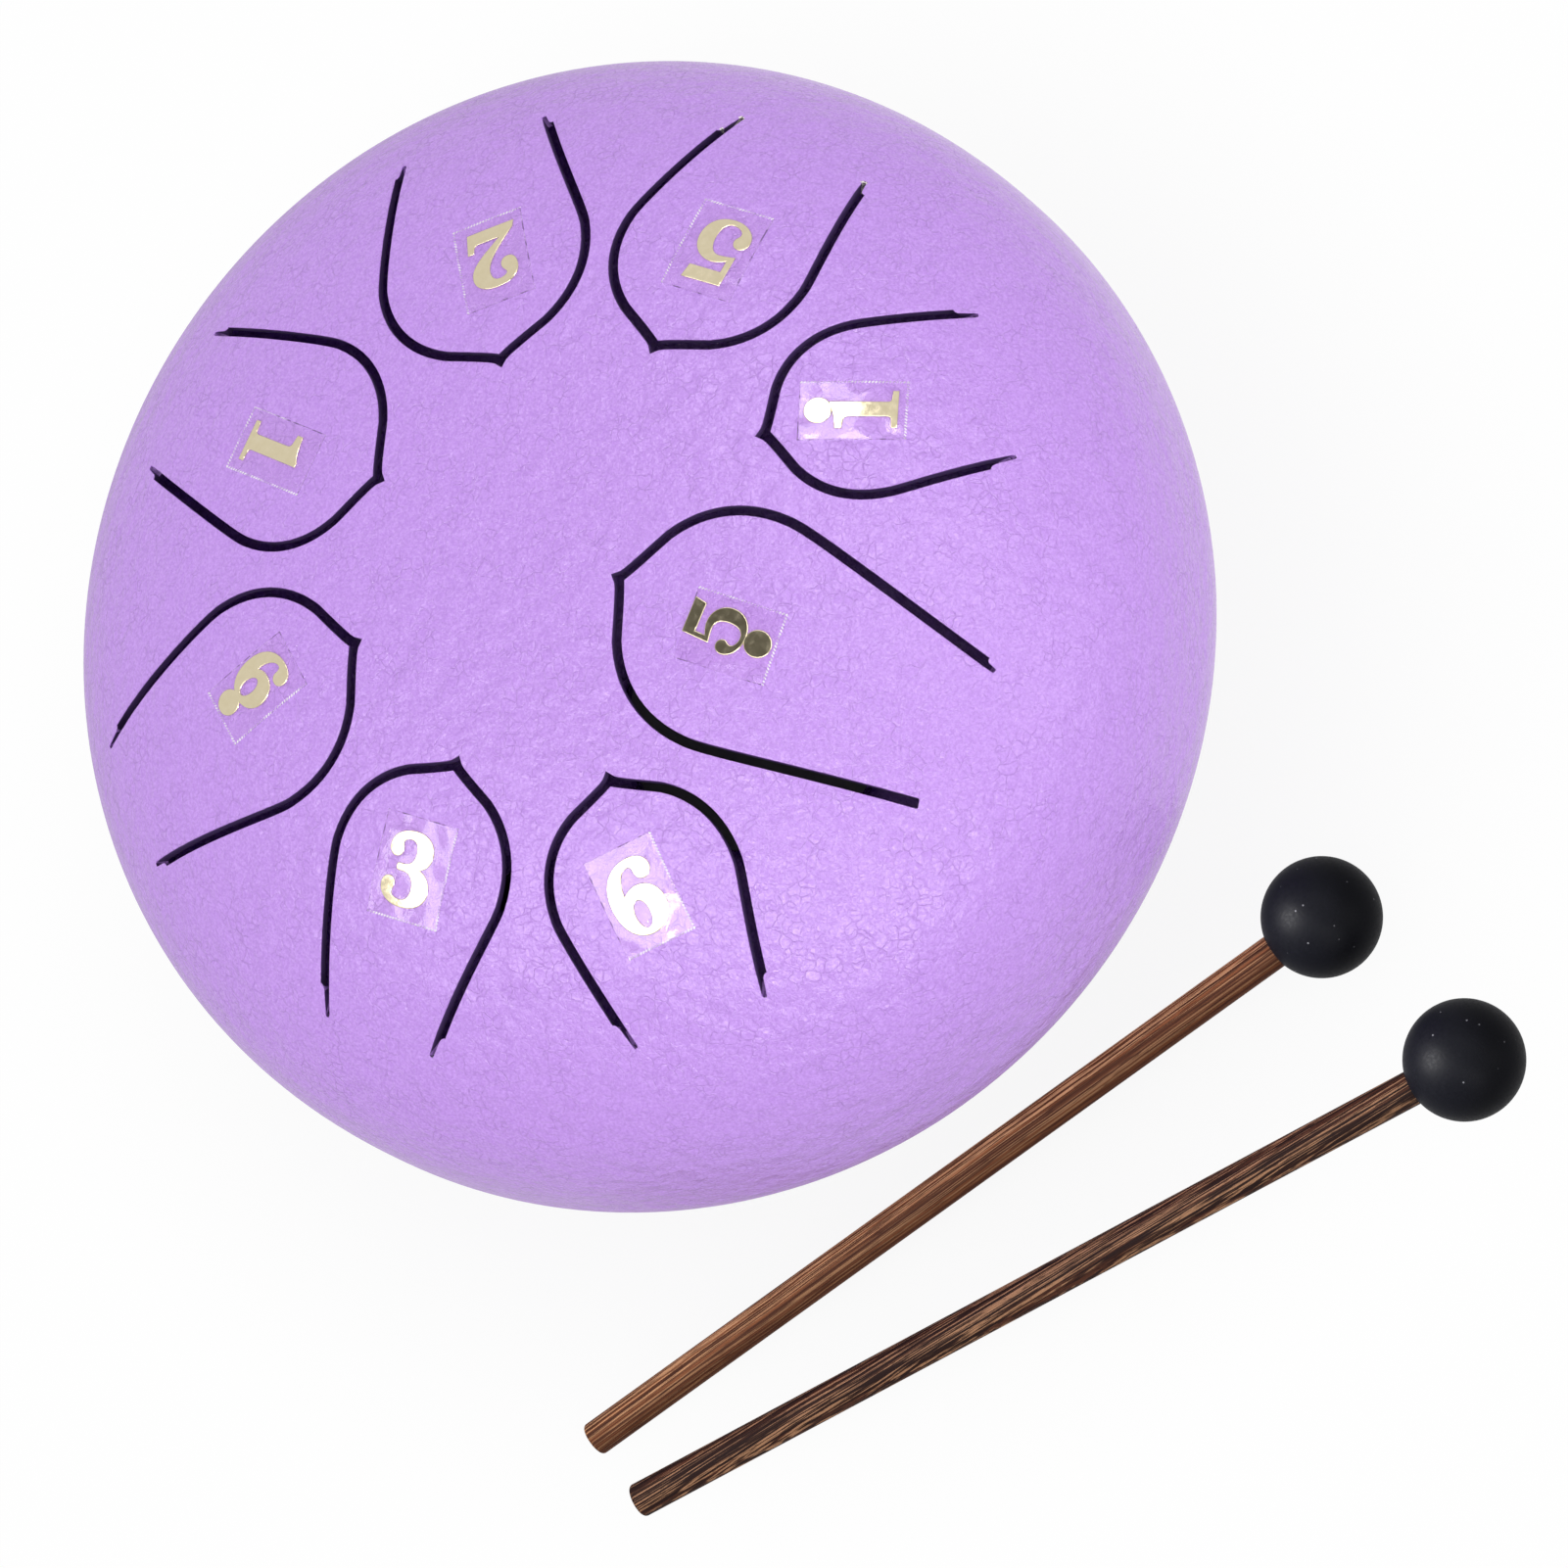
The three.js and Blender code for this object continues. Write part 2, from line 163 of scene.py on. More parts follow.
between = sumNode(tree, "SUBTRACT", pebble["wrinkleShare"], times(tree, patches, pebble["wrinkleLoss"]))
creases = larger(tree, creases, times(tree, wrinkles, between))
grains = noise(tree, given["Place"], given["Grain"], *pebble["grains"])
height = times(tree, noise(tree, bent, finer["facets"]), pebble["facetHeight"])
swells = noise(tree, bent, finer["swells"], 1.0)
for layer, share in ((grains, "grainHeight"), (swells, "swellHeight"), (creases, "creaseHeight")):
    height = sumNode(tree, "MULTIPLY_ADD", layer, pebble[share], height)
feed(tree, made, {"Height": height, "Creases": creases, "Grains": grains})

# small pale flecks of dust
dust = {"core": 0.03, "rim": 0.13}
tree, given, made = newGroup("dustFlecks", {"Scale": 300.0, "Amount": 0.1}, ("Flecks",))
dustGroup = tree
sockets = {"Vector": given["Place"], "Scale": given["Scale"]}
spots = addNode(tree, "ShaderNodeTexVoronoi", sockets).outputs
chance = addNode(tree, "ShaderNodeSeparateColor", {0: spots["Color"]}).outputs[0]
few = sumNode(tree, "LESS_THAN", chance, given["Amount"])
small = ramp(tree, spots["Distance"], dust["core"], dust["rim"], 1.0, 0.0)
feed(tree, made, {"Flecks": times(tree, few, small)})

# layers of the mallet woods, cut along the stick's own Z; each has its stretch and its detail; the last output
# darkens one side of the stick as painted shade
layers = {
    "Bands": ((0.40, 0.16, 0.8), 2.0), "Lines": ((1.0, 0.30, 1.0), 2.0), "Fibres": ((1.25, 0.40, 4.0), 2.0),
    "Pores": ((1.9, 0.9, 28.0), 1.0),
}
woodCut = {"driftScale": 45.0, "pores": (0.56, 0.66), "shadedSide": (-0.0022, 0.0006)}
inputs = {"Layers": 1500.0, "Along": 16.0, "Wave": 0.0003, "Slant": 0.0}
tree, given, made = newGroup("woodLayers", inputs, (*layers, "ShadedSide"))
woodGroup = tree
split = addNode(tree, "ShaderNodeSeparateXYZ", {0: given["Place"]}).outputs
drift = sumNode(tree, "SUBTRACT", noise(tree, given["Place"], woodCut["driftScale"], 1.0), 0.5)
lean = sumNode(tree, "MULTIPLY_ADD", split["Z"], given["Slant"], times(tree, drift, given["Wave"]))
across = sumNode(tree, "ADD", split["X"], lean)
sockets = {0: times(tree, across, given["Layers"]), 1: times(tree, split["Y"], given["Layers"])}
sockets[2] = times(tree, split["Z"], given["Along"])
stretched = addNode(tree, "ShaderNodeCombineXYZ", sockets).outputs[0]
for label, (stretch, detail) in layers.items():
    value = noise(tree, moveNode(tree, "MULTIPLY", stretched, stretch), 1.0, detail)
    feed(tree, made, {label: ramp(tree, value, *woodCut["pores"]) if label == "Pores" else value})
# painted shade: one side of the stick is drawn darker
feed(tree, made, {"ShadedSide": ramp(tree, across, *woodCut["shadedSide"], 1.0, 0.0)})

# lilac powder coat of the sheet
coat = {
    "lilac": (0.530, 0.274, 0.828, 1), "pale": (0.660, 0.378, 0.968, 1), "crease": (0.40, 0.20, 0.63, 1),
    "grain": 2500.0, "creases": 660.0, "paleGlintShare": (0.34, 0.70), "creaseShadeShare": (0.1, 1.0, 0.0, 0.17),
    "roughness": (0.3, 0.7, 0.27, 0.12), "bump": (1.0, 0.00018),
}
lilacCoat, tree, shader, place = newMaterial("lilacPowderCoat", {"Specular IOR Level": 0.44})
skin = useGroup(tree, pebbleGroup, {"Place": place, "Grain": coat["grain"], "Crease": coat["creases"]})
# pale grains: partly the coat's mottled tone, partly painted glints
tint = mixColour(tree, ramp(tree, skin["Grains"], *coat["paleGlintShare"]), coat["lilac"], coat["pale"])
# painted shade: the coat is tinted darker along its creases
tint = mixColour(tree, ramp(tree, skin["Creases"], *coat["creaseShadeShare"]), tint, coat["crease"])
feed(tree, shader, {
    "Base Color": tint, "Roughness": ramp(tree, skin["Grains"], *coat["roughness"]),
    "Normal": bumpFrom(tree, skin["Height"], *coat["bump"]),
})

# bare speckled metal where the saw ran out at both ends of one slot
sawn = {
    "noise": (2600.0, 2.0, 0.6), "bright": (0.42, 0.50), "metal": 0.35, "roughness": (0.3, 0.7, 0.5, 0.3),
    "colours": ((0.06, 0.035, 0.08, 1), (0.90, 0.85, 0.80, 1)), "bump": (0.8, 0.0003),
}
bareEnd, tree, shader, place = newMaterial("bareSawnSteel", {"Specular IOR Level": 0.5})
chip = noise(tree, place, *sawn["noise"])
feed(tree, shader, {
    "Base Color": mixColour(tree, ramp(tree, chip, *sawn["bright"]), *sawn["colours"]),
    "Metallic": ramp(tree, chip, *sawn["bright"], 0.0, sawn["metal"]),
    "Roughness": ramp(tree, chip, *sawn["roughness"]), "Normal": bumpFrom(tree, chip, *sawn["bump"]),
})


def mottled(name, look):  # finishes in which one noise drives the colour and all the rest
    material, tree, shader, place = newMaterial(name, look["fixed"])
    mottle = noise(tree, place, *look["noise"])
    if "share" in look:
        mottle = ramp(tree, mottle, *look["share"])
    feed(tree, shader, {"Base Color": mixColour(tree, mottle, *look["colours"])})
    for key in ("Roughness", "Alpha"):
        if key in look:
            feed(tree, shader, {key: ramp(tree, mottle, *look[key])})
    height = mottle
    if "swell" in look:
        scale, share = look["swell"]
        height = sumNode(tree, "MULTIPLY_ADD", noise(tree, place, scale, 1.0), share, mottle)
    if "bump" in look:
        feed(tree, shader, {"Normal": bumpFrom(tree, height, *look["bump"])})
    return material


# painted shade: dark colour down the walls of the slots
slotWall = mottled("paintedSlotWallShade", {
    "fixed": {"Specular IOR Level": 0.3}, "noise": (1500.0, 3.0, 0.6), "Roughness": (0.3, 0.7, 0.50, 0.66),
    "colours": ((0.070, 0.036, 0.135, 1), (0.115, 0.062, 0.205, 1)), "bump": (0.4, 0.00012),
})

# clear film of the stickers, its torn white teeth, and the dark line along its straight sides: painted shadow
# of the film's edge, partly adhesive dirt
clearFilm = mottled("clearFilm", {
    "fixed": {"Transmission Weight": 1.0, "IOR": 1.39, "Specular IOR Level": 0.5}, "noise": (420.0, 3.0),
    "colours": ((0.88, 0.82, 0.89, 1), (0.95, 0.89, 0.965, 1)), "Roughness": (0.3, 0.7, 0.03, 0.09),
    "swell": (150.0, 10.0), "bump": (1.0, 0.00006),
})
filmTeeth = mottled("filmTornTeeth", {
    "fixed": {"Specular IOR Level": 0.8}, "noise": (420.0,), "share": (0.36, 0.56),
    "colours": ((0.74, 0.58, 0.92, 1), (0.98, 0.96, 1.0, 1)),
    "Alpha": (0.0, 1.0, 0.35, 0.92), "Roughness": (0.0, 1.0, 0.35, 0.2),
})
filmEdgeShadowDirt = mottled("filmEdgeShadowAndDirt", {
    "fixed": {"Specular IOR Level": 0.3}, "noise": (650.0, 3.0), "share": (0.44, 0.64),
    "colours": ((0.40, 0.22, 0.60, 1), (0.13, 0.07, 0.20, 1)),
    "Alpha": (0.0, 1.0, 0.10, 0.80), "Roughness": (0.0, 1.0, 0.45, 0.65),
})

# pale gold foil of the figures
goldFoil = mottled("paleGoldFoil", {
    "fixed": {"Metallic": 1.0}, "noise": (900.0, 3.0, 0.6), "Roughness": (0.35, 0.7, 0.08, 0.18),
    "colours": ((0.60, 0.52, 0.335, 1), (0.68, 0.60, 0.435, 1)), "bump": (0.15, 0.00006),
})

# black rubber of the mallet heads and the feet
rubber = {
    "grain": 2200.0, "crease": 300.0, "fleckScale": 700.0, "fleck": (0.10, 0.10, 0.11, 1),
    "roughness": (0.3, 0.7, 0.42, 0.54), "bump": (0.3, 0.00006),
}


def rubberMaterial(name, dusty, gloss, dark, dull):
    material, tree, shader, place = newMaterial(name, {"Specular IOR Level": gloss})
    skin = useGroup(tree, pebbleGroup, {"Place": place, "Grain": rubber["grain"], "Crease": rubber["crease"]})
    apart = moveNode(tree, "ADD", place, addNode(tree, "ShaderNodeObjectInfo").outputs["Random"])
    sockets = {"Place": apart, "Scale": rubber["fleckScale"], "Amount": dusty}
    flecks = useGroup(tree, dustGroup, sockets)["Flecks"]
    feed(tree, shader, {
        "Base Color": mixColour(tree, flecks, mixColour(tree, skin["Grains"], dark, dull), rubber["fleck"]),
        "Roughness": ramp(tree, skin["Grains"], *rubber["roughness"]),
        "Normal": bumpFrom(tree, skin["Height"], *rubber["bump"]),
    })
    return material


headRubber = rubberMaterial("malletHeadRubber", dusty=0.40, gloss=0.045,
                            dark=(0.0016, 0.0017, 0.0028, 1), dull=(0.003, 0.0032, 0.005, 1))
footRubber = rubberMaterial("footRubber", dusty=0.05, gloss=0.4,
                            dark=(0.012, 0.012, 0.013, 1), dull=(0.022, 0.022, 0.023, 1))

# the two woods of the mallet sticks
stickWood = {
    "gloss": 0.08, "fibres": (0.51, 0.58, 0.0, 0.9), "pores": 0.65,
    "roughness": (0.3, 0.7, 0.50, 0.64), "bump": (0.35, 0.00012),
}


def woodMaterial(name, wood):
    material, tree, shader, place = newMaterial(name, {"Specular IOR Level": stickWood["gloss"]})
    sockets = {label: wood[label.lower()] for label in ("Layers", "Along", "Wave", "Slant")}
    grain = useGroup(tree, woodGroup, {"Place": place, **sockets})
    tone = mixColour(tree, ramp(tree, grain["Bands"], *wood["bands"]), wood["dark"], wood["middle"])
    tone = mixColour(tree, ramp(tree, grain["Lines"], *wood["lines"]), tone, wood["pale"])
    tone = mixColour(tree, ramp(tree, grain["Fibres"], *stickWood["fibres"]), tone, wood["dark"])
    # painted shade darkens one side of the stick
    tone = mixColour(tree, times(tree, grain["ShadedSide"], wood["shadedSide"]), tone, wood["dark"])
    tone = mixColour(tree, times(tree, grain["Pores"], stickWood["pores"]), tone, wood["pore"])
    feed(tree, shader, {
        "Base Color": tone, "Roughness": ramp(tree, grain["Fibres"], *stickWood["roughness"]),
        "Normal": bumpFrom(tree, grain["Fibres"], *stickWood["bump"]),
    })
    return material


redWood = woodMaterial("redBrownStickWood", {
    "layers": 4400.0, "along": 10.0, "wave": 0.0004, "slant": 0.0, "shadedSide": 0.66,
    "bands": (0.36, 0.56), "lines": (0.49, 0.56), "dark": (0.062, 0.019, 0.009, 1),
    "middle": (0.265, 0.094, 0.036, 1), "pale": (0.540, 0.285, 0.138, 1), "pore": (0.038, 0.011, 0.006, 1),
})
darkWood = woodMaterial("darkBrownStickWood", {
    "layers": 4400.0, "along": 24.0, "wave": 0.0006, "slant": -0.06, "shadedSide": 0.30,
    "bands": (0.44, 0.62), "lines": (0.50, 0.58), "dark": (0.017, 0.006, 0.005, 1),
    "middle": (0.080, 0.027, 0.014, 1), "pale": (0.345, 0.178, 0.095, 1), "pore": (0.014, 0.005, 0.004, 1),
})
print("materials:", len(bpy.data.materials))


# meshes: a pool holds points with their normals, and faces by region
mitreLimit = 0.3  # keeps the offset of a sharp corner short
hair = 1e-5  # a step small enough to give a loop's outward way
rowPitch = 0.866  # rows of a grid of even triangles


def newPool():
    return {"points": [], "normals": [], "faces": {}}


def addRow(pool, points, normals):
    start = len(pool["points"])
    pool["points"].extend(np.asarray(points).tolist())
    pool["normals"].extend(np.asarray(normals).tolist())
    return np.arange(start, len(pool["points"]))


def addFaces(pool, region, faces):
    pool["faces"].setdefault(region, []).extend(tuple(int(i) for i in face) for face in faces)


def strip(upper, lower, closed=True):  # faces to the left of the way the rows run
    count = len(upper) if closed else len(upper) - 1
    ahead = [(i + 1) % len(upper) for i in range(count)]
    return [(upper[i], upper[j], lower[j], lower[i]) for i, j in enumerate(ahead)]


def flipped(faces):
    return [tuple(reversed(face)) for face in faces]


def addCaps(pool, region, rows, hubs):  # a fan over the first row and one under the last
    for row, (spot, normal), way in zip((rows[0], rows[-1]), hubs, (list, flipped)):
        hub = addRow(pool, [spot], [normal])[0]
        addFaces(pool, region, way([(hub, i, j) for i, j in zip(row, np.roll(row, -1))]))


def newObject(name, data):
    made = bpy.data.objects.new(name, data)
    bpy.context.collection.objects.link(made)
    return made


def makePiece(name, pool, regions):  # regions name their materials
    faces, kinds = [], []
    mesh = bpy.data.meshes.new(name)
    for kind, (region, material) in enumerate(regions.items()):
        faces += pool["faces"].get(region, [])
        kinds += [kind] * len(pool["faces"].get(region, []))
        mesh.materials.append(material)
    used = sorted({i for face in faces for i in face})
    renumber = {old: new for new, old in enumerate(used)}
    faces = [tuple(renumber[i] for i in face) for face in faces]
    mesh.from_pydata([pool["points"][i] for i in used], [], faces)
    mesh.polygons.foreach_set("use_smooth", [True] * len(faces))
    mesh.polygons.foreach_set("material_index", kinds)
    mesh.normals_split_custom_set_from_vertices([pool["normals"][i] for i in used])
    piece = newObject(name, mesh)
    return piece


def unit(vectors):
    return vectors / np.maximum(np.linalg.norm(vectors, axis=-1, keepdims=True), 1e-12)


def withZ(plan, z):
    return np.column_stack((plan, np.broadcast_to(z, len(plan))))


def reachOf(plan):
    return np.hypot(plan[:, 0], plan[:, 1])


def circle(centre, radius, count):
    angles = np.arange(count) * 2 * math.pi / count
    return np.asarray(centre) + radius * np.column_stack((np.cos(angles), np.sin(angles)))


def mitred(line, distance, before, after):
    return line + distance * (before + after) / np.maximum(1 + (before * after).sum(1), mitreLimit)[:, None]


def offsetLoop(loop, distance):  # to the right of the way the loop runs
    ahead = unit(np.roll(loop, -1, axis=0) - loop)
    right = np.column_stack((ahead[:, 1], -ahead[:, 0]))
    return mitred(loop, distance, np.roll(right, 1, axis=0), right)


def offsetLine(line, distance):  # to the left of the way the line runs
    ahead = unit(np.diff(line, axis=0))
    left = np.column_stack((-ahead[:, 1], ahead[:, 0]))
    return mitred(line, distance, np.vstack((left[:1], left)), np.vstack((left, left[-1:])))


def inside(loops, points):  # within an outline and not within its holes
    within = np.zeros(len(points), bool)
    for loop in loops:
        for a, b in zip(loop, np.roll(loop, -1, axis=0)):
            if a[1] != b[1]:
                spans = (a[1] > points[:, 1]) != (b[1] > points[:, 1])
                crossing = (b[0] - a[0]) * (points[:, 1] - a[1]) / (b[1] - a[1]) + a[0]
                within ^= spans & (points[:, 0] < crossing)
    return within


def loopEdges(start, count):
    return [(start + i, start + (i + 1) % count) for i in range(count)]


def gridPoints(reach, step, clear, keepOff):  # staggered points clear of the given ones
    rows = np.arange(-reach, reach + step, step * rowPitch)
    steps = np.arange(-reach, reach + step, step)
    points = np.array([(x + step / 2 * (k % 2), y) for k, y in enumerate(rows) for x in steps])
    gap = np.full(len(points), 1e9)
    for start in range(0, len(keepOff), 200):  # in lots, to spare memory
        apart = np.linalg.norm(points[:, None] - keepOff[None, start:start + 200], axis=2)
        gap = np.minimum(gap, apart.min(axis=1))
    return points[gap > clear]


def triangulate(points, edges, scale=1.0):  # scale brings the points to metres
    flat = points * scale
    spots = [Vector((x / mm, y / mm)) for x, y in flat]  # in mm, where the fill is most exact
    filled = delaunay_2d_cdt(spots, edges, [], 0, 1e-7)
    source = [ids[0] for ids in filled[3]]
    triangles = np.array([[source[i] for i in face] for face in filled[2]])
    a, b, c = (flat[triangles[:, k]] for k in range(3))
    turn = (b[:, 0] - a[:, 0]) * (c[:, 1] - a[:, 1]) - (b[:, 1] - a[:, 1]) * (c[:, 0] - a[:, 0])
    triangles[turn < 0] = triangles[turn < 0][:, ::-1]
    return triangles, points[triangles].mean(axis=1)


# the drum's sheet: two superellipses turned about its axis
weldLow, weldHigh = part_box("rim_weld")
drum = {
    "axis": ((weldLow.x + weldHigh.x) / 2, (weldLow.y + weldHigh.y) / 2),
    "seam": (weldLow.z + weldHigh.z) / 2,
    "radius": (weldHigh.x - weldLow.x) / 2,
    "sheet": 1.5 * mm,
    "edgeRound": 0.22 * mm,
    "edgeTurns": ((1, 0), (0.293, 0.293), (0, 1)),  # out and down, in rounds of the edge
    "endLean": 0.1 * mm,  # a cut's end floor leans back by more than this
    "soundHole": 20 * mm, "soundHoleSides": 120,
    "footHole": 2.4 * mm, "footHoleSides": 32,
    "sides": 240, "rings": 20, "ringCrowding": 1.4, "rootSteps": 10,
    "gridClear": 0.42, "gridInset": 0.3, "innerCoarser": 1.6,  # in steps of the grid
}
dome = {
    "rise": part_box("upper_shell")[1].z - drum["seam"], "side": 2.4, "crown": 2.95, "join": 1.157,
    "grid": 3.0 * mm,
}
bowl = {"rise": -41.3 * mm, "side": 3.8, "crown": 1.8, "join": 0.62, "grid": 4.0 * mm}


def outerZ(half, r):
    return half["rise"] * np.maximum(1 - (r / drum["radius"]) ** half["side"], 0) ** (1 / half["crown"])


def outerNormal(half, r, z):
    across = half["side"] / drum["radius"] * (r / drum["radius"]) ** (half["side"] - 1)
    upward = half["crown"] / half["rise"] * np.abs(z / half["rise"]) ** (half["crown"] - 1)
    size = np.hypot(across, upward)
    return across / size, upward / size


def profile(half, sweep, depth):
    r = drum["radius"] * np.sin(sweep) ** (2 / half["side"])
    z = half["rise"] * np.abs(np.cos(sweep)) ** (2 / half["crown"])
    across, upward = outerNormal(half, r, z)
    return r - across * depth, z - upward * depth, across, upward


def innerZ(half, r):
    turnedR, turnedZ = profile(half, np.linspace(0.001, math.pi / 2, 500), drum["sheet"])[:2]
    return np.interp(r, turnedR, turnedZ)


def toRow(plan, z):
    return withZ(plan + drum["axis"], z + drum["seam"])


def skinNormals(half, plan):
    r = reachOf(plan)
    across, upward = outerNormal(half, r, outerZ(half, r))
    return withZ(plan / np.maximum(r, 1e-9)[:, None] * across[:, None], upward)


def skinRow(pool, half, plan, outer):
    r, normals = reachOf(plan), skinNormals(half, plan)
    if outer:
        return addRow(pool, toRow(plan, outerZ(half, r)), normals)
    return addRow(pool, toRow(plan, innerZ(half, r)), -normals)


def cutEdges(pool, half, cut, turned):
    loop = cut["loop"]
    side = math.copysign(1, half["rise"])
    wall = withZ(unit(loop - offsetLoop(loop, hair)), 0.0)
    rows = []
    for out, sink in drum["edgeTurns"]:  # a small round over the edge, then the wall
        plan = offsetLoop(loop, out * drum["edgeRound"])
        z = outerZ(half, reachOf(plan)) - side * sink * drum["edgeRound"]
        normals = unit(skinNormals(half, plan) * (1 - sink) + wall * sink)
        rows.append(addRow(pool, toRow(plan, z), normals))
        cut.setdefault("outerPlan", plan)
    inner = cut["innerPlan"] = cut.get("inner", loop)
    slope = np.maximum(((inner - loop) * wall[:, :2]).sum(1), 0)
    wall = unit(wall * (drum["sheet"] - drum["edgeRound"]) + np.outer(slope, (0, 0, 1)))
    rows.append(addRow(pool, toRow(inner, innerZ(half, reachOf(inner))), wall))
    ended = (slope > drum["endLean"]) & (np.roll(slope, -1) > drum["endLean"])
    cut["outerRow"], cut["innerRow"] = rows[0], rows[-1]
    own = cut.get("tongueSide", 1) - 1
    for upper, lower, part in zip(rows, rows[1:], ("", "", "Wall")):
        faces = turned(strip(upper, lower))
        addFaces(pool, cut["name"] + part, faces[:own])
        for face, end in zip(faces[own:], ended[own:]):
            addFaces(pool, "shell" + (cut["endPart"] if end else part), [face])
    if not own:
        return
    shares = np.linspace(0, 1, drum["rootSteps"] + 1)[1:-1, None]
    lines = []
    for kind in ("outer", "inner"):  # the root line, where tongue and shell are one sheet
        start, end = cut[kind + "Plan"][own], cut[kind + "Plan"][0]
        cut[kind + "Root"] = start + (end - start) * shares
        cut[kind + "RootRow"] = skinRow(pool, half, cut[kind + "Root"], kind == "outer")
        row = cut[kind + "Row"]
        lines.append([row[own], *cut[kind + "RootRow"], row[0]])
    (top, middle, low, base), (topR, middleR, lowR, baseR) = ([row[k] for row in rows] for k in (own, 0))
    faces = strip(*lines, closed=False)
    faces += [(top, base, low), (top, low, middle), (baseR, topR, middleR), (baseR, middleR, lowR)]
    addFaces(pool, cut["name"], turned(faces))
    addFaces(pool, "shell", turned(flipped(faces)))


def fillSkin(pool, half, cuts, ring, kind, gridStep, turned):
    plans, rows, edges, total = [], [], [], 0
    for cut in cuts:
        plan = cut[kind + "Plan"]
        edges += loopEdges(total, len(plan))
        plans.append(plan)
        rows.append(cut[kind + "Row"])
        if "tongueSide" in cut:
            root, after = cut[kind + "Root"], total + len(plan)
            chain = [total + cut["tongueSide"] - 1, *range(after, after + len(root)), total]
            edges += list(zip(chain, chain[1:]))
            plans.append(root)
            rows.append(cut[kind + "RootRow"])
            total += len(root)
        total += len(plan)
    edges += loopEdges(total, len(ring[0]))
    held = np.vstack(plans + [ring[0]])
    reach = np.linalg.norm(ring[0][0])
    loose = gridPoints(reach, gridStep, gridStep * drum["gridClear"], held)
    loose = loose[reachOf(loose) < reach - gridStep * drum["gridInset"]]
    ids = np.concatenate(rows + [ring[1], skinRow(pool, half, loose, kind == "outer")])
    triangles, centres = triangulate(np.vstack((held, loose)), edges)
    region = np.full(len(triangles), "shell", dtype=object)
    for cut in cuts:
        if "tongueSide" in cut:
            own = np.vstack((cut[kind + "Plan"][:cut["tongueSide"]], cut[kind + "Root"]))
            region[inside([own], centres)] = cut["name"]
        region[inside([cut[kind + "Plan"]], centres)] = "open"
    for name in sorted(set(region) - {"open"}):
        faces = ids[triangles[region == name]]
        addFaces(pool, name, turned(faces if kind == "outer" else flipped(faces)))


def buildSheet(half, cuts):
    pool = newPool()
    turned = flipped if half["rise"] < 0 else list
    around = circle((0, 0), 1.0, drum["sides"])
    rings = {"outer": [], "inner": []}
    for share in np.linspace(0, 1, drum["rings"]):
        sweep = math.pi / 2 - (math.pi / 2 - half["join"]) * (1 - share) ** drum["ringCrowding"]
        for kind, depth, way in (("outer", 0, 1), ("inner", drum["sheet"], -1)):
            r, z, across, upward = profile(half, sweep, depth)
            row = addRow(pool, toRow(around * r, z), withZ(around * across, upward) * way)
            rings[kind].append((around * r, row))
    for kind, way in (("outer", flipped), ("inner", list)):
        for (_, upper), (_, lower) in zip(rings[kind], rings[kind][1:]):
            addFaces(pool, "shell", turned(way(strip(upper, lower))))
    addFaces(pool, "shell", turned(flipped(strip(rings["outer"][-1][1], rings["inner"][-1][1]))))
    for cut in cuts:
        cutEdges(pool, half, cut, turned)
    fillSkin(pool, half, cuts, rings["outer"][0], "outer", half["grid"], turned)
    fillSkin(pool, half, cuts, rings["inner"][0], "inner", half["grid"] * drum["innerCoarser"], turned)
    return pool


# tongue slots, in mm in each tongue's own plan: x from the tip to the root
slot = {
    "width": 1.3, "spur": 0.5, "spurReach": 1.5, "cutFloor": 0.25, "bend": 5,
    "neckRun": 0.215, "neckRise": 0.507, "neckLean": 0.0145, "neckClimb": 0.0174,
    "tipReach": 0.071, "tipRise": 0.25, "crownReach": 0.568,
    "legStart": 0.085, "legEnd": 0.76, "legFlare": 1.1, "tipSteps": 12, "crownSteps": 18, "legSteps": 16,
    "bluntEnd": ((0.16, 0.06), (0.22, 0.24)),  # past the end, in from either edge
    # a saw cut's outline: share of its length, out from the tongue's edge
    "cutLine": ((0.5, 0.03), (0.93, 0.06), (1.0, 0.17), (1.0, 0.52), (0.93, 0.62), (0.5, 0.70),
                (0.22, 0.74), (0.08, 0.92), (0.0, 1.18)),
}
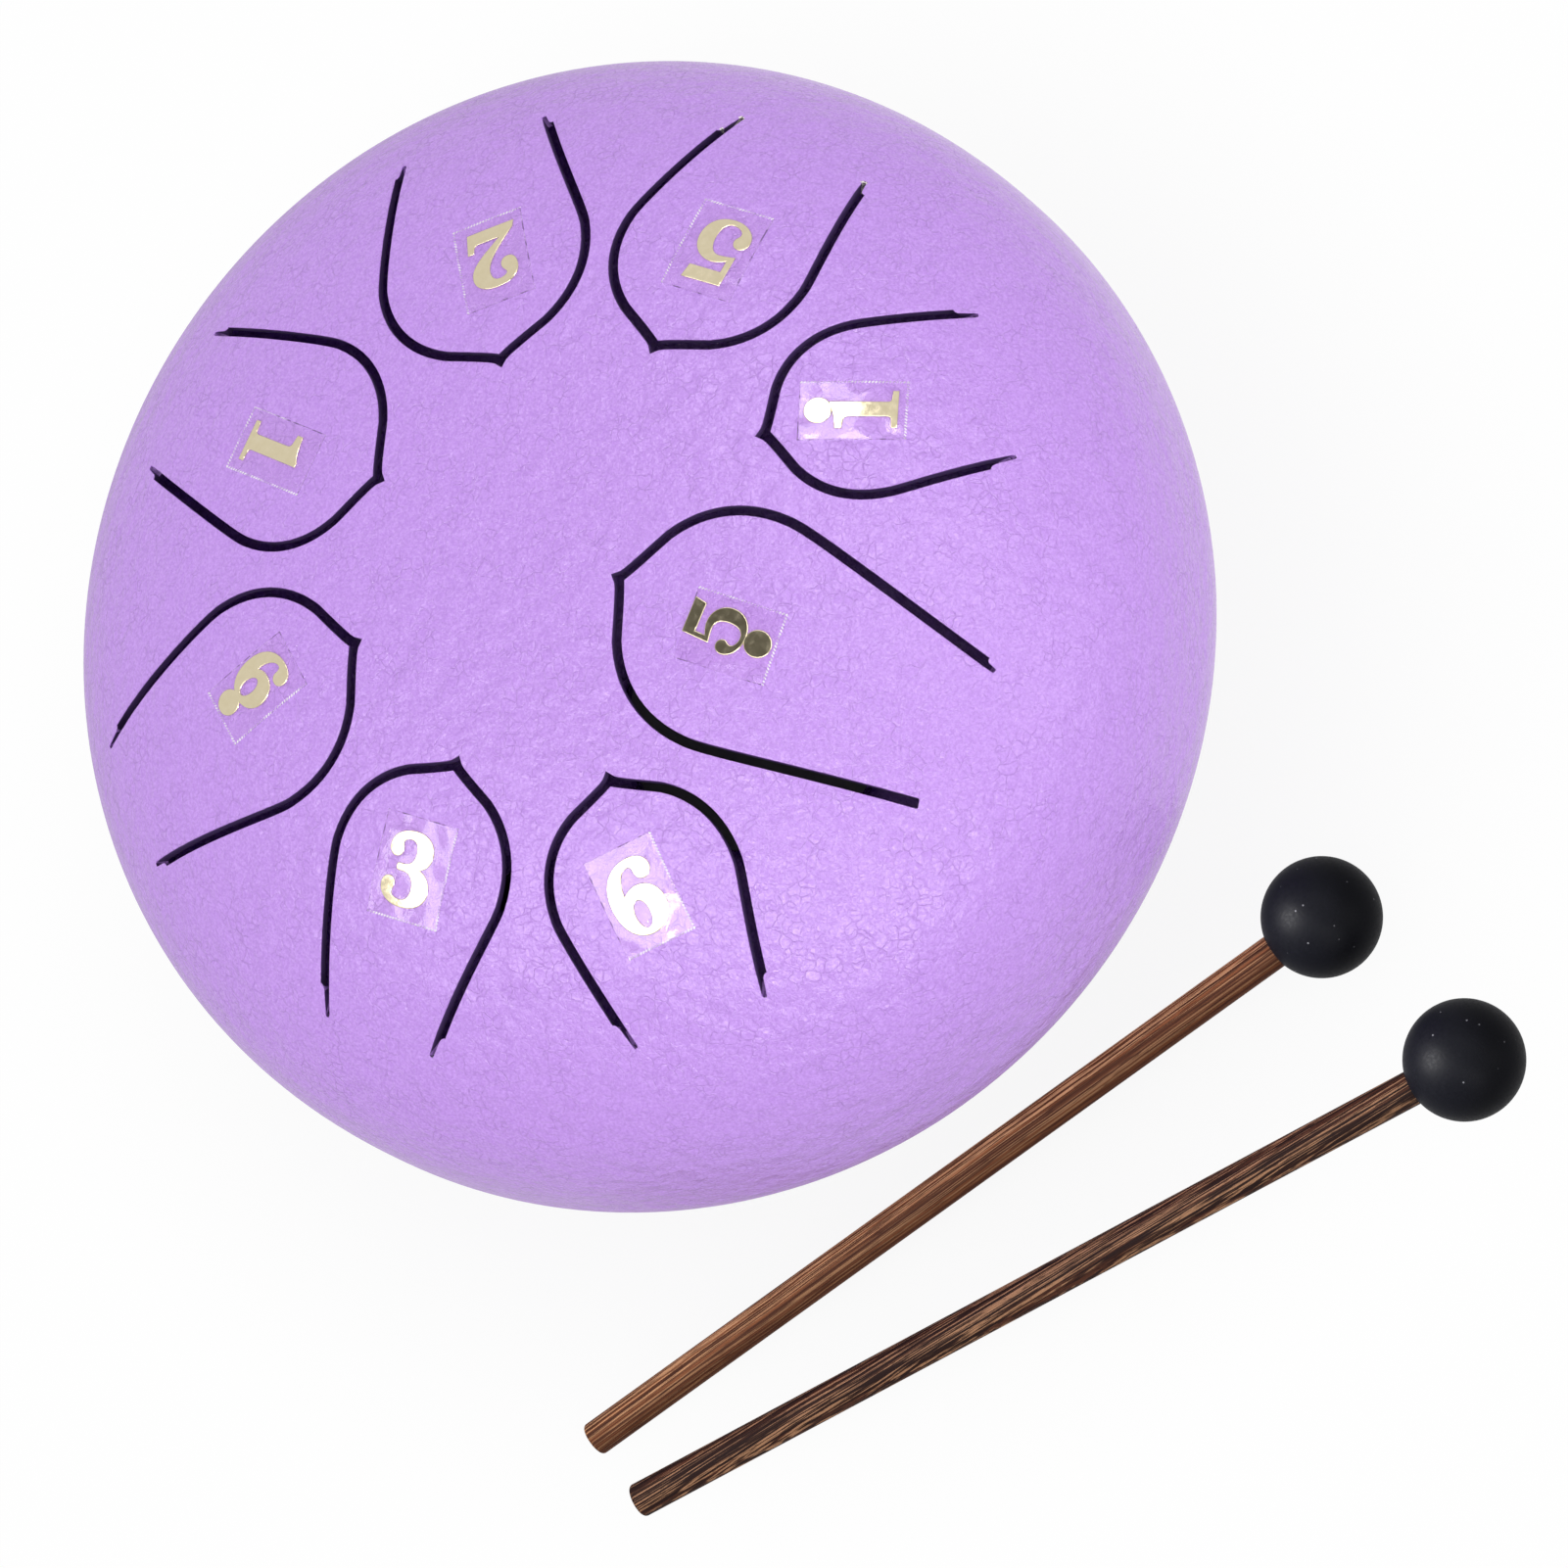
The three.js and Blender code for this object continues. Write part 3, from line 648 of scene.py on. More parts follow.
# cuts are the thin saw cuts past the right and left slot ends; film is from tip, aside, turn, length, width
tongues = {
    "low_5": {"bearing": -90, "rimToRoot": 16.8, "skew": -1.9, "length": 46.1, "shoulder": 17.1,
              "spread": 26.2, "rootSpread": 9.4, "cuts": (0, 1.4), "film": (17.1, -0.9, 6.6, 12.3, 9.8)},
    "6": {"bearing": -136.3, "rimToRoot": 16.5, "skew": -3.2, "length": 27.8, "shoulder": 14.2,
          "spread": 15, "rootSpread": 9.4, "cuts": (3.5, 2.8), "film": (14.8, -1, 5.9, 13, 9.9)},
    "3": {"bearing": -177.1, "rimToRoot": 16.5, "skew": -3.7, "length": 32.3, "shoulder": 14.4,
          "spread": 16.3, "rootSpread": 8.4, "cuts": (3.9, 3.1), "film": (14.5, -0.7, 6.3, 13.3, 10.5)},
    "low_6": {"bearing": 137.4, "rimToRoot": 13.2, "skew": -0.8, "length": 38.8, "shoulder": 16.5,
              "spread": 19, "rootSpread": 8.8, "cuts": (2.9, 2), "film": (15.3, -1.6, 7.9, 13.3, 8.7)},
    "1": {"bearing": 87, "rimToRoot": 18.2, "skew": 1.3, "length": 35.6, "shoulder": 15,
          "spread": 20.4, "rootSpread": 10.2, "cuts": (2.3, 2), "film": (16.8, 1.9, 0.3, 13.2, 8.9)},
    "2": {"bearing": 37, "rimToRoot": 17.1, "skew": 3.2, "length": 33.8, "shoulder": 15.5,
          "spread": 19.1, "rootSpread": 10.2, "cuts": (1.7, 2.1), "film": (14.5, -1.6, 1.4, 13.1, 9.8)},
    "5": {"bearing": -5.9, "rimToRoot": 15.6, "skew": 3, "length": 30.2, "shoulder": 14.7,
          "spread": 16.2, "rootSpread": 10, "cuts": (1.8, 3.3), "film": (15, -0.1, 7.3, 13, 10), "bare": True},
    "high_1": {"bearing": -46.1, "rimToRoot": 16.8, "skew": -4.6, "length": 25.5, "shoulder": 13.5,
               "spread": 13.7, "rootSpread": 10.1, "cuts": (3.2, 2.7), "film": (11.4, 0, -14.9, 13.5, 8.1)},
}


def bezier(a, b, c, d, steps):
    t = np.linspace(0, 1, steps + 1)[1:, None]
    a, b, c, d = (np.array(p, float) for p in (a, b, c, d))
    return (1 - t) ** 3 * a + 3 * t * (1 - t) ** 2 * b + 3 * t ** 2 * (1 - t) * c + t ** 3 * d


def rootRadius(tongue):
    return drum["radius"] / mm - tongue["rimToRoot"]


def slotLine(tongue):
    length, shoulder = tongue["length"], tongue["shoulder"]
    leg = length - shoulder
    halfWidth = (rootRadius(tongue) - leg) * math.tan(math.radians(tongue["spread"]))
    halfRoot = rootRadius(tongue) * math.tan(math.radians(tongue["rootSpread"]))
    neck = np.array((slot["neckRun"] * shoulder, slot["neckRise"] * halfWidth))
    lean = np.array((slot["neckLean"] * shoulder, slot["neckClimb"] * halfWidth))
    tip, crown, root = (0.0, 0.0), (shoulder, halfWidth), (length, halfRoot)
    pastTip = (slot["tipReach"] * shoulder, slot["tipRise"] * neck[1])
    atCrown = (shoulder * (1 - slot["crownReach"]), halfWidth)
    pastCrown = (shoulder + slot["legStart"] * leg, halfWidth)
    flare = halfRoot + slot["legFlare"] * slot["legEnd"] * (halfWidth - halfRoot)
    left = np.vstack((
        [tip],
        bezier(tip, pastTip, neck - lean, neck, slot["tipSteps"]),
        bezier(neck, neck + lean, atCrown, crown, slot["crownSteps"]),
        bezier(crown, pastCrown, (length - slot["legEnd"] * leg, flare), root, slot["legSteps"]),
    ))
    return np.vstack((left[:0:-1] * (1, -1), left)), len(left) - 1


def slotEnd(line, way, cut, deep):  # from the tongue's edge round to the shell's
    end, half = line[-1], slot["width"] / 2
    ahead = unit(end - line[-2])
    out = way * np.array((-ahead[1], ahead[0]))
    if cut:
        reach = cut * slot["cutFloor"] if deep else cut  # the cut runs out shallower
        spots = [(reach * share, aside - half) for share, aside in slot["cutLine"]]
    else:
        spots = [(past, edge * (aside - half)) for edge in (1, -1) for past, aside in slot["bluntEnd"][::edge]]
    return np.array([end + ahead * a + out * b for a, b in spots])


def slotLoop(tongue, deep):
    line, cusp = slotLine(tongue)
    shellSide = offsetLine(line, slot["width"] / 2)
    tongueSide = offsetLine(line, -slot["width"] / 2)
    away = np.linalg.norm(shellSide - shellSide[cusp], axis=1)
    shellSide[:, 0] -= slot["spur"] * np.maximum(0, 1 - away / slot["spurReach"]) ** 2
    rightEnd = slotEnd(line[::-1], -1, tongue["cuts"][0], deep)
    leftEnd = slotEnd(line, 1, tongue["cuts"][1], deep)
    return np.vstack((tongueSide, leftEnd, shellSide[::-1], rightEnd[::-1])), len(tongueSide)


def onDrum(tongue, points):  # tongue plan in mm to the drum's plan in metres
    bearing = math.radians(tongue["bearing"])
    facing = math.radians(tongue["bearing"] + tongue["skew"])
    root = rootRadius(tongue) * np.array((math.cos(bearing), math.sin(bearing)))
    ahead = np.array((math.cos(facing), math.sin(facing)))
    side = np.array((-ahead[1], ahead[0]))
    points = np.asarray(points, float)
    return (root + (points[:, :1] - tongue["length"]) * ahead + points[:, 1:] * side) * mm


slotCuts = []
for note, tongue in tongues.items():
    (loop, own), (inner, _) = slotLoop(tongue, False), slotLoop(tongue, True)
    slotCuts.append({"name": note, "loop": onDrum(tongue, loop), "inner": onDrum(tongue, inner),
                     "tongueSide": own, "endPart": "Bare" if tongue.get("bare") else ""})
domePool = buildSheet(dome, slotCuts)
regions = {"shell": lilacCoat, "shellWall": slotWall, "shellBare": bareEnd}
upperShell = makePiece("upper_shell_skin", domePool, regions)
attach(upperShell, "drum")
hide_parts("upper_shell", "rim_weld")
for note, tongue in tongues.items():
    regions = {note: lilacCoat, note + "Wall": slotWall}
    piece = makePiece("tongue_" + note + "_skin", domePool, regions)
    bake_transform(piece)
    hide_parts("tongue_" + note)
print("dome and", len(tongues), "tongues:", len(domePool["points"]), "points")

# lower bowl with its sound hole and the holes of the three feet
footSpots = {}
for node in ("foot_front", "foot_right", "foot_left"):
    low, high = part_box(node)
    footSpots[node] = np.array(((low.x + high.x) / 2, (low.y + high.y) / 2)) - drum["axis"]
bowlCuts = [{"name": "soundHole", "loop": circle((0, 0), drum["soundHole"], drum["soundHoleSides"])}]
for node, spot in footSpots.items():
    bowlCuts.append({"name": node, "loop": circle(spot, drum["footHole"], drum["footHoleSides"])})
bowlPool = buildSheet(bowl, bowlCuts)
regions = {"shell": lilacCoat, "shellWall": slotWall}
lowerShell = makePiece("lower_shell_skin", bowlPool, regions)
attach(lowerShell, "drum")
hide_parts("lower_shell")
print("bowl:", len(bowlPool["points"]), "points")

# rubber feet, pushed through the bowl and seated against it
foot = {
    "radius": 6.5 * mm, "round": 0.8 * mm, "stem": 2.2 * mm, "barb": 3.4 * mm, "barbTip": 1.4 * mm,
    "barbHeight": 2.6 * mm, "barbEdge": 0.25 * mm, "bevel": 0.3 * mm, "gap": 0.04 * mm,
    "flat": 0.45, "roundSteps": 6, "sides": 48,
}


def footProfile():  # radius, what the height is measured from, height, and the normal out and up
    radius, soft, bevel, gap = (foot[key] for key in ("radius", "round", "bevel", "gap"))
    rows = [
        (foot["barbTip"], "inside", foot["barbHeight"], 1, 1),
        (foot["barb"], "inside", foot["barbEdge"], 1, 0.6),
        (foot["barb"] - bevel, "inside", gap, 0.5, -1), (foot["stem"], "inside", gap, 0.5, -1),
        (foot["stem"], "skin", -gap, 0.6, 1), (radius - bevel, "skin", -gap, 0.4, 1),
        (radius, "skin", -gap - bevel, 1, 0.4), (radius, "floor", soft, 1, 0),
    ]
    for turn in np.linspace(0, math.pi / 2, foot["roundSteps"] + 1)[1:]:
        out, down = math.cos(turn), math.sin(turn)
        rows.append((radius - soft * (1 - out), "floor", soft * (1 - down), out, -down))
    return rows + [(radius * foot["flat"], "floor", 0.0, radius * (foot["flat"] - 1) + soft, -soft)]


for node, spot in footSpots.items():
    pool, rows = newPool(), []
    ways = circle((0, 0), 1.0, foot["sides"])
    for r, datum, height, out, upward in footProfile():
        plan = spot + ways * r
        far = reachOf(plan)
        base = {"inside": innerZ(bowl, far), "skin": outerZ(bowl, far), "floor": -drum["seam"]}[datum]
        rows.append(addRow(pool, toRow(plan, base + height), unit(withZ(ways * out, upward))))
    for upper, lower in zip(rows, rows[1:]):
        addFaces(pool, "rubber", flipped(strip(upper, lower)))
    top, base = (np.mean([pool["points"][i] for i in row], axis=0) for row in (rows[0], rows[-1]))
    addCaps(pool, "rubber", rows, ((top, (0, 0, 1)), (base, (0, 0, -1))))
    piece = makePiece(node + "_rubber", pool, {"rubber": footRubber})
    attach(piece, "drum")
    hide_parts(node)
print("feet:", len(footSpots))

# stickers, in mm: a clear film with two serrated sides, and a raised foil figure
sticker = {
    "filmLow": 0.02, "filmHigh": 0.11, "edgeDrop": 0.02, "border": 0.15, "sideSteps": 8,
    "toothPitch": 0.42, "toothDepth": 0.10, "toothLong": 0.34, "toothWide": 0.15, "toothHigh": 0.03,
    "toothRun": (0.78125, 0.625), "toothStart": 0.3, "toothInset": 0.02,  # run is inward and along
    "figureLow": 0.09, "figureHigh": 0.22, "figureDrop": 0.07, "figureInset": 0.10,
    "lineStep": 0.7, "curveSteps": 9, "dotSides": 40, "dotLow": 0.085, "dotHigh": 0.21,
    "rimLean": 1.2, "toothLean": 1.6, "figureLean": 0.8,  # how far up the normals of the edges lean
    "filmGrid": (7.5, 1.3, 0.6), "figureGrid": (6.5, 0.9, 0.45),  # reach, step, clear of the outline
    "curl": 0.8, "curlReach": 2.8,
}
# outlines in mm about the film's middle, y towards the tip: two numbers draw a line, six a curve
figures = {
    "1": [[(-2.9, -5.1), (2.8, -5.1), (2.8, -4.3), (1.6, -4.2), (1.25, -4.15, 1.1, -4.0, 1.1, -3.6),
           (1.15, 4.3), (0.6, 4.3), (0.1, 4.0, -0.9, 3.55, -2.95, 3.45), (-2.95, 2.5), (-1.7, 2.3),
           (-1.3, 2.2, -1.15, 2.0, -1.15, 1.5), (-1.15, -3.6), (-1.15, -4.0, -1.3, -4.2, -1.7, -4.2),
           (-2.9, -4.3)]],
    "2": [[(-3.7, -5.0), (3.0, -5.0), (3.3, -1.9), (2.4, -1.9), (2.3, -2.8, 2.1, -3.1, 1.6, -3.1),
           (-1.3, -3.1), (-0.3, -2.2, 0.9, -1.5, 1.8, -0.65), (2.7, 0.2, 3.15, 0.9, 3.15, 1.9),
           (3.15, 3.3, 1.9, 4.25, 0, 4.25), (-1.9, 4.25, -3.3, 3.5, -3.3, 1.9),
           (-3.3, 0.8, -2.8, 0.15, -2.1, 0.15), (-1.4, 0.15, -1.0, 0.6, -1.0, 1.2),
           (-1.0, 1.9, -1.6, 2.1, -1.6, 2.5), (-1.6, 2.9, -0.9, 3.1, -0.5, 3.1),
           (0.3, 3.1, 0.65, 2.5, 0.65, 1.6), (0.65, 0.2, -0.6, -1.2, -3.4, -4.0)]],
    "3": [[(1.2, 0.1), (2.2, 0.4, 2.7, 1.3, 2.7, 2.2), (2.7, 3.8, 1.4, 4.8, -0.3, 4.8),
           (-2.2, 4.8, -3.7, 3.9, -3.7, 2.4), (-3.7, 1.7, -3.2, 1.15, -2.6, 1.15),
           (-2.0, 1.15, -1.65, 1.6, -1.65, 2.2), (-1.65, 2.7, -1.9, 2.7, -1.85, 3.1),
           (-1.75, 3.4, -1.3, 3.6, -0.9, 3.6), (-0.1, 3.6, 0.3, 3.0, 0.3, 2.1),
           (0.3, 1.1, -0.2, 0.45, -1.3, 0.45), (-1.9, 0.45), (-2.3, 0.45, -2.3, -0.5, -1.9, -0.5),
           (-1.2, -0.5), (-0.1, -0.5, 0.5, -1.3, 0.5, -2.4), (0.5, -3.4, 0, -4.05, -0.9, -4.05),
           (-1.5, -4.05, -2.25, -3.8, -2.25, -3.3), (-2.25, -2.9, -2.0, -2.8, -2.0, -2.3),
           (-2.0, -1.8, -2.4, -1.4, -2.9, -1.4), (-3.5, -1.4, -3.95, -1.9, -3.95, -2.6),
           (-3.95, -4.0, -2.5, -5.0, -0.6, -5.0), (1.5, -5.0, 3.0, -4.0, 3.0, -2.3),
           (3.0, -1.2, 2.2, -0.2, 1.2, 0.1)]],
    "5": [[(-2.75, 4.75), (2.8, 4.8), (2.4, 2.85), (-2.0, 2.85), (-2.1, 1.25),
           (-1.4, 1.65, -0.6, 1.8, -0.1, 1.8), (1.7, 1.8, 3.1, 0.4, 3.1, -1.4),
           (3.1, -3.4, 1.7, -4.65, -0.4, -4.65), (-2.3, -4.65, -3.9, -3.5, -3.9, -2.0),
           (-3.9, -1.3, -3.4, -0.75, -2.8, -0.75), (-2.1, -0.75, -1.7, -1.2, -1.7, -1.75),
           (-1.7, -2.3, -2.2, -2.4, -2.2, -2.9), (-2.2, -3.4, -1.4, -3.85, -0.7, -3.85),
           (0.4, -3.85, 0.85, -2.9, 0.85, -1.6), (0.85, -0.3, 0.3, 0.65, -0.7, 0.65),
           (-1.5, 0.65, -2.2, 0.5, -3.0, 0.4)]],
    "6": [[(-1.7, 0.5), (-1.1, 1.0, -0.4, 1.25, 0.3, 1.25), (2.0, 1.25, 3.2, -0.1, 3.2, -1.75),
           (3.2, -3.6, 1.7, -4.9, -0.3, -4.9), (-2.6, -4.9, -4.0, -2.9, -4.0, -0.2),
           (-4.0, 2.9, -2.1, 4.75, 0.6, 4.75), (2.0, 4.75, 3.05, 4.0, 3.05, 3.0),
           (3.05, 2.2, 2.5, 1.65, 1.8, 1.65), (1.1, 1.65, 0.65, 2.1, 0.65, 2.8),
           (0.65, 3.2, 0.5, 3.6, 0.1, 3.6), (-0.9, 3.6, -1.75, 2.2, -1.7, 0.5)],
          [(-0.45, -0.5), (0.12, -0.5, 0.57, -1.28, 0.57, -2.25),
           (0.57, -3.22, 0.12, -4.0, -0.45, -4.0), (-1.02, -4.0, -1.47, -3.22, -1.47, -2.25),
           (-1.47, -1.28, -1.02, -0.5, -0.45, -0.5)]],
}
# figure, size, shift, tilt, and an octave dot's middle and radius
stickers = {
    "1": {"figure": "1"}, "2": {"figure": "2"}, "3": {"figure": "3"},
    "5": {"figure": "5"}, "6": {"figure": "6"},
    "high_1": {"figure": "1", "size": 0.9, "shift": (0.16, -1.0), "dot": (0, 4.3, 1.75)},
    "low_5": {"figure": "5", "size": 0.87, "shift": (0.83, 2.0), "tilt": -3.5, "dot": (0.05, -3.72, 1.82),
              "curled": True},
    "low_6": {"figure": "6", "size": 0.88, "shift": (-0.45, 1.1), "dot": (-1.05, -4.5, 1.72)},
}


def drawContour(steps):
    points = [np.array(steps[0], float)]
    for step in steps[1:] + steps[:1]:
        end = np.array(step[-2:], float)
        if len(step) == 2:
            count = max(1, math.ceil(np.linalg.norm(end - points[-1]) / sticker["lineStep"]))
            points += [points[-1] + (end - points[-1]) * (k + 1) / count for k in range(count)]
        else:
            points += list(bezier(points[-1], step[:2], step[2:4], end, sticker["curveSteps"]))
    points = np.array(points)
    return points[np.linalg.norm(points - np.roll(points, 1, axis=0), axis=1) > 1e-6]


def wound(loop, hole):  # outlines run left round, holes right round
    area = (loop[:, 0] * np.roll(loop[:, 1], -1) - loop[:, 1] * np.roll(loop[:, 0], -1)).sum()
    return loop[::-1] if (area > 0) == hole else loop


def onFilm(tongue, points):
    fromTip, aside, turn = tongue["film"][:3]
    turn = math.radians(turn)
    along, across = -points[:, 1], points[:, 0]
    return onDrum(tongue, np.column_stack((
        fromTip + along * math.cos(turn) - across * math.sin(turn),
        aside + along * math.sin(turn) + across * math.cos(turn))))


def filmRow(pool, tongue, points, height, normals=None, way=1):
    plan = onFilm(tongue, points)
    z = outerZ(dome, reachOf(plan)) + np.asarray(height) * mm
    return addRow(pool, toRow(plan, z), skinNormals(dome, plan) * way if normals is None else normals)


def outwardNormals(tongue, loop, upward):
    plan = onFilm(tongue, loop)
    out = withZ(unit(offsetLoop(plan, hair) - plan), 0.0)
    return unit(out + upward * skinNormals(dome, plan))


def raiseFigure(pool, tongue, loops, low, high):
    crowns = [offsetLoop(loop, -sticker["figureInset"]) for loop in loops]
    crownRows, baseRows = [], []
    for loop, crown in zip(loops, crowns):
        crownRows.append(filmRow(pool, tongue, crown, high))
        lean = outwardNormals(tongue, loop, sticker["figureLean"])
        shoulder = filmRow(pool, tongue, loop, high - sticker["figureDrop"], lean)
        baseRows.append(filmRow(pool, tongue, loop, low, outwardNormals(tongue, loop, 0.0)))
        addFaces(pool, "foil", flipped(strip(crownRows[-1], shoulder) + strip(shoulder, baseRows[-1])))
    for outlines, rows, height, way in ((crowns, crownRows, high, list), (loops, baseRows, low, flipped)):
        held = np.vstack(outlines)
        edges, total = [], 0
        for outline in outlines:
            edges += loopEdges(total, len(outline))
            total += len(outline)
        loose = gridPoints(*sticker["figureGrid"], held)
        loose = loose[inside(outlines, loose)]
        ids = np.concatenate(rows + [filmRow(pool, tongue, loose, height)])
        triangles, centres = triangulate(np.vstack((held, loose)), edges, mm)
        addFaces(pool, "foil", way(ids[triangles[inside(outlines, centres)]]))


def figureLoops(spec):
    tilt = math.radians(spec.get("tilt", 0))
    turn = np.array(((math.cos(tilt), math.sin(tilt)), (-math.sin(tilt), math.cos(tilt))))
    loops = [wound(drawContour(steps), k > 0) for k, steps in enumerate(figures[spec["figure"]])]
    return [loop @ turn * spec.get("size", 1) + np.array(spec.get("shift", (0, 0))) for loop in loops]


def toothCount(start, end):
    return round(np.linalg.norm(np.subtract(end, start)) / sticker["toothPitch"])


def plainSide(start, end, count):
    return np.array(start) + np.subtract(end, start) * (np.arange(count) / count)[:, None]


def serratedSide(start, end, inward):
    points = plainSide(start, end, toothCount(start, end) * 2)
    points[1::2] += np.array(inward) * sticker["toothDepth"]
    return points


def toothBars(pool, tongue, start, end, inward):  # slanted tears across a serrated side
    start, end, inward = (np.array(v, float) for v in (start, end, inward))
    slant = inward * sticker["toothRun"][0] + unit(end - start) * sticker["toothRun"][1]
    wide = np.array((-slant[1], slant[0])) * sticker["toothWide"] / 2
    count = toothCount(start, end)
    for k in range(count):
        base = start + (end - start) * (k + sticker["toothStart"]) / count + inward * sticker["toothInset"]
        tip = base + slant * sticker["toothLong"]
        quad = wound(np.array((base - wide, tip - wide, tip + wide, base + wide)), False)
        low = filmRow(pool, tongue, quad, sticker["filmLow"], outwardNormals(tongue, quad, 0.0))
        lean = outwardNormals(tongue, quad, sticker["toothLean"])
        top = filmRow(pool, tongue, quad, sticker["filmHigh"] + sticker["toothHigh"], lean)
        addFaces(pool, "teeth", flipped(strip(top, low)) + [tuple(top), tuple(low[::-1])])


def buildFilm(note, tongue, curled):
    pool = newPool()
    length, width = tongue["film"][3:]
    x, y, edge, steps = width / 2, length / 2, sticker["border"], sticker["sideSteps"]
    torn = (((-x, -y), (x, -y), (0, 1)), ((x, -y), (x, y), (-1, 0)))
    outline = np.vstack((plainSide((-x, y), (-x, -y), steps), *(serratedSide(*side) for side in torn),
                         plainSide((x, y), (-x, y), steps)))
    corners = ((-x + edge, y - edge), (-x + edge, -y + edge), (x - edge, -y + edge), (x - edge, y - edge))
    border = np.vstack([plainSide(corners[k], corners[(k + 1) % 4], steps) for k in range(4)])
    held = np.vstack((outline, border))
    loose = gridPoints(*sticker["filmGrid"], held)
    loose = loose[inside([border], loose)]

    def lifted(points, height):  # a corner that has come away
        away = np.linalg.norm(points - (-x, -y), axis=1)
        return height + curled * sticker["curl"] * np.maximum(0, 1 - away / sticker["curlReach"]) ** 2

    bottom = filmRow(pool, tongue, outline, lifted(outline, sticker["filmLow"]), way=-1)
    rim = lifted(outline, sticker["filmHigh"] - sticker["edgeDrop"])
    top = filmRow(pool, tongue, outline, rim, outwardNormals(tongue, outline, sticker["rimLean"]))
    addFaces(pool, "film", flipped(strip(top, bottom)))
    upper = [filmRow(pool, tongue, row, lifted(row, sticker["filmHigh"])) for row in (border, loose)]
    ids = np.concatenate((top, *upper))
    edges = loopEdges(0, len(outline)) + loopEdges(len(outline), len(border))
    triangles, centres = triangulate(np.vstack((held, loose)), edges, mm)
    within = inside([outline], centres)
    # the border along the straight sides takes the dark line: painted shadow of the film's edge, partly dirt
    straight = (centres[:, 0] < -x + edge) | (centres[:, 1] > y - edge)
    straight &= within & ~inside([border], centres)
    addFaces(pool, "edgeShadowDirt", ids[triangles[straight]])
    addFaces(pool, "film", ids[triangles[within & ~straight]])
    for side in torn:
        toothBars(pool, tongue, *side)
    ids = np.concatenate((bottom, filmRow(pool, tongue, loose, lifted(loose, sticker["filmLow"]), way=-1)))
    triangles, centres = triangulate(np.vstack((outline, loose)), loopEdges(0, len(outline)), mm)
    addFaces(pool, "film", flipped(ids[triangles[inside([outline], centres)]]))
    regions = {"film": clearFilm, "teeth": filmTeeth, "edgeShadowDirt": filmEdgeShadowDirt}
    return makePiece("sticker_" + note + "_film", pool, regions)


for note, spec in stickers.items():
    film = buildFilm(note, tongues[note], spec.get("curled", False))
    film.visible_shadow = film.visible_diffuse = False  # clear: the paint below keeps its light
    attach(film, note + "_tongue")
    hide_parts("label_" + note)
    pool = newPool()
    raiseFigure(pool, tongues[note], figureLoops(spec), sticker["figureLow"], sticker["figureHigh"])
    if "dot" in spec:
        ring = circle(spec["dot"][:2], spec["dot"][2], sticker["dotSides"])
        raiseFigure(pool, tongues[note], [ring], sticker["dotLow"], sticker["dotHigh"])
    foil = makePiece("sticker_" + note + "_figure", pool, {"foil": goldFoil})
    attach(foil, note + "_tongue")
print("stickers:", len(stickers))

# mallets, each turned about its own Z from tail to head, with the head's middle at the origin
mallet = {
    "headRadius": 8.2 * mm, "headSteps": 46, "headSides": 72, "bore": 2.5 * mm, "boreMiddle": -2 * mm,
    "boreEnd": 0.8 * mm, "boreSoft": 0.1 * mm, "lip": 0.25 * mm, "lipTurn": (0.3, 0.25),
    "stickRadius": 2.4 * mm, "stickSteps": 30, "stickSides": 48, "tipTop": 0.4 * mm, "tipBevel": 0.3 * mm,
    "tailRound": 0.55 * mm, "tailSteps": 6, "tailFlat": 0.4,
}
mallets = {
    "inner": {"bearing": -33.6, "reach": 124.7 * mm, "wood": redWood},
    "outer": {"bearing": -41.1, "reach": 130.6 * mm, "wood": darkWood},
}


def turnProfile(points, sides):  # from the top down the outside; the ends are on the axis
    pool, rows = newPool(), []
    points = np.array(points)
    ahead = unit(np.diff(points, axis=0))
    out = np.column_stack((-ahead[:, 1], ahead[:, 0]))
    normals = unit(np.vstack((out[:1], out)) + np.vstack((out, out[-1:])))
    ways = circle((0, 0), 1.0, sides)
    for (r, z), (across, upward) in zip(points[1:-1], normals[1:-1]):
        rows.append(addRow(pool, withZ(ways * r, z), withZ(ways * across, upward)))
    for upper, lower in zip(rows, rows[1:]):
        addFaces(pool, "turned", flipped(strip(upper, lower)))
    addCaps(pool, "turned", rows, [((0, 0, points[end][1]), (0, 0, normals[end][1])) for end in (0, -1)])
    return pool


def headProfile():
    radius, bore, lip, boreEnd = (mallet[key] for key in ("headRadius", "bore", "lip", "boreEnd"))
    mouth = math.pi - math.asin((bore + lip) / radius)
    rows = [(radius * math.sin(a), radius * math.cos(a)) for a in np.linspace(0, mouth, mallet["headSteps"])]
    deep = rows[-1][1]
    rows += [(bore + lip * mallet["lipTurn"][0], deep + lip * mallet["lipTurn"][1]), (bore, deep + lip)]
    rows += [(bore, mallet["boreMiddle"]), (bore, boreEnd - mallet["boreSoft"]), (bore - lip, boreEnd)]
    return rows + [(0, boreEnd)]


def stickProfile(reach):
    radius, soft, top, bevel = (mallet[key] for key in ("stickRadius", "tailRound", "tipTop", "tipBevel"))
    rows = [(0, top), (radius - bevel, top), (radius, top - bevel)]
    rows += [(radius, z) for z in np.linspace(0, -reach + soft, mallet["stickSteps"])[1:]]
    turns = np.linspace(0, math.pi / 2, mallet["tailSteps"] + 1)[1:]
    rows += [(radius - soft * (1 - math.cos(a)), -reach + soft * (1 - math.sin(a))) for a in turns]
    return rows + [(radius * mallet["tailFlat"], -reach), (0, -reach)]


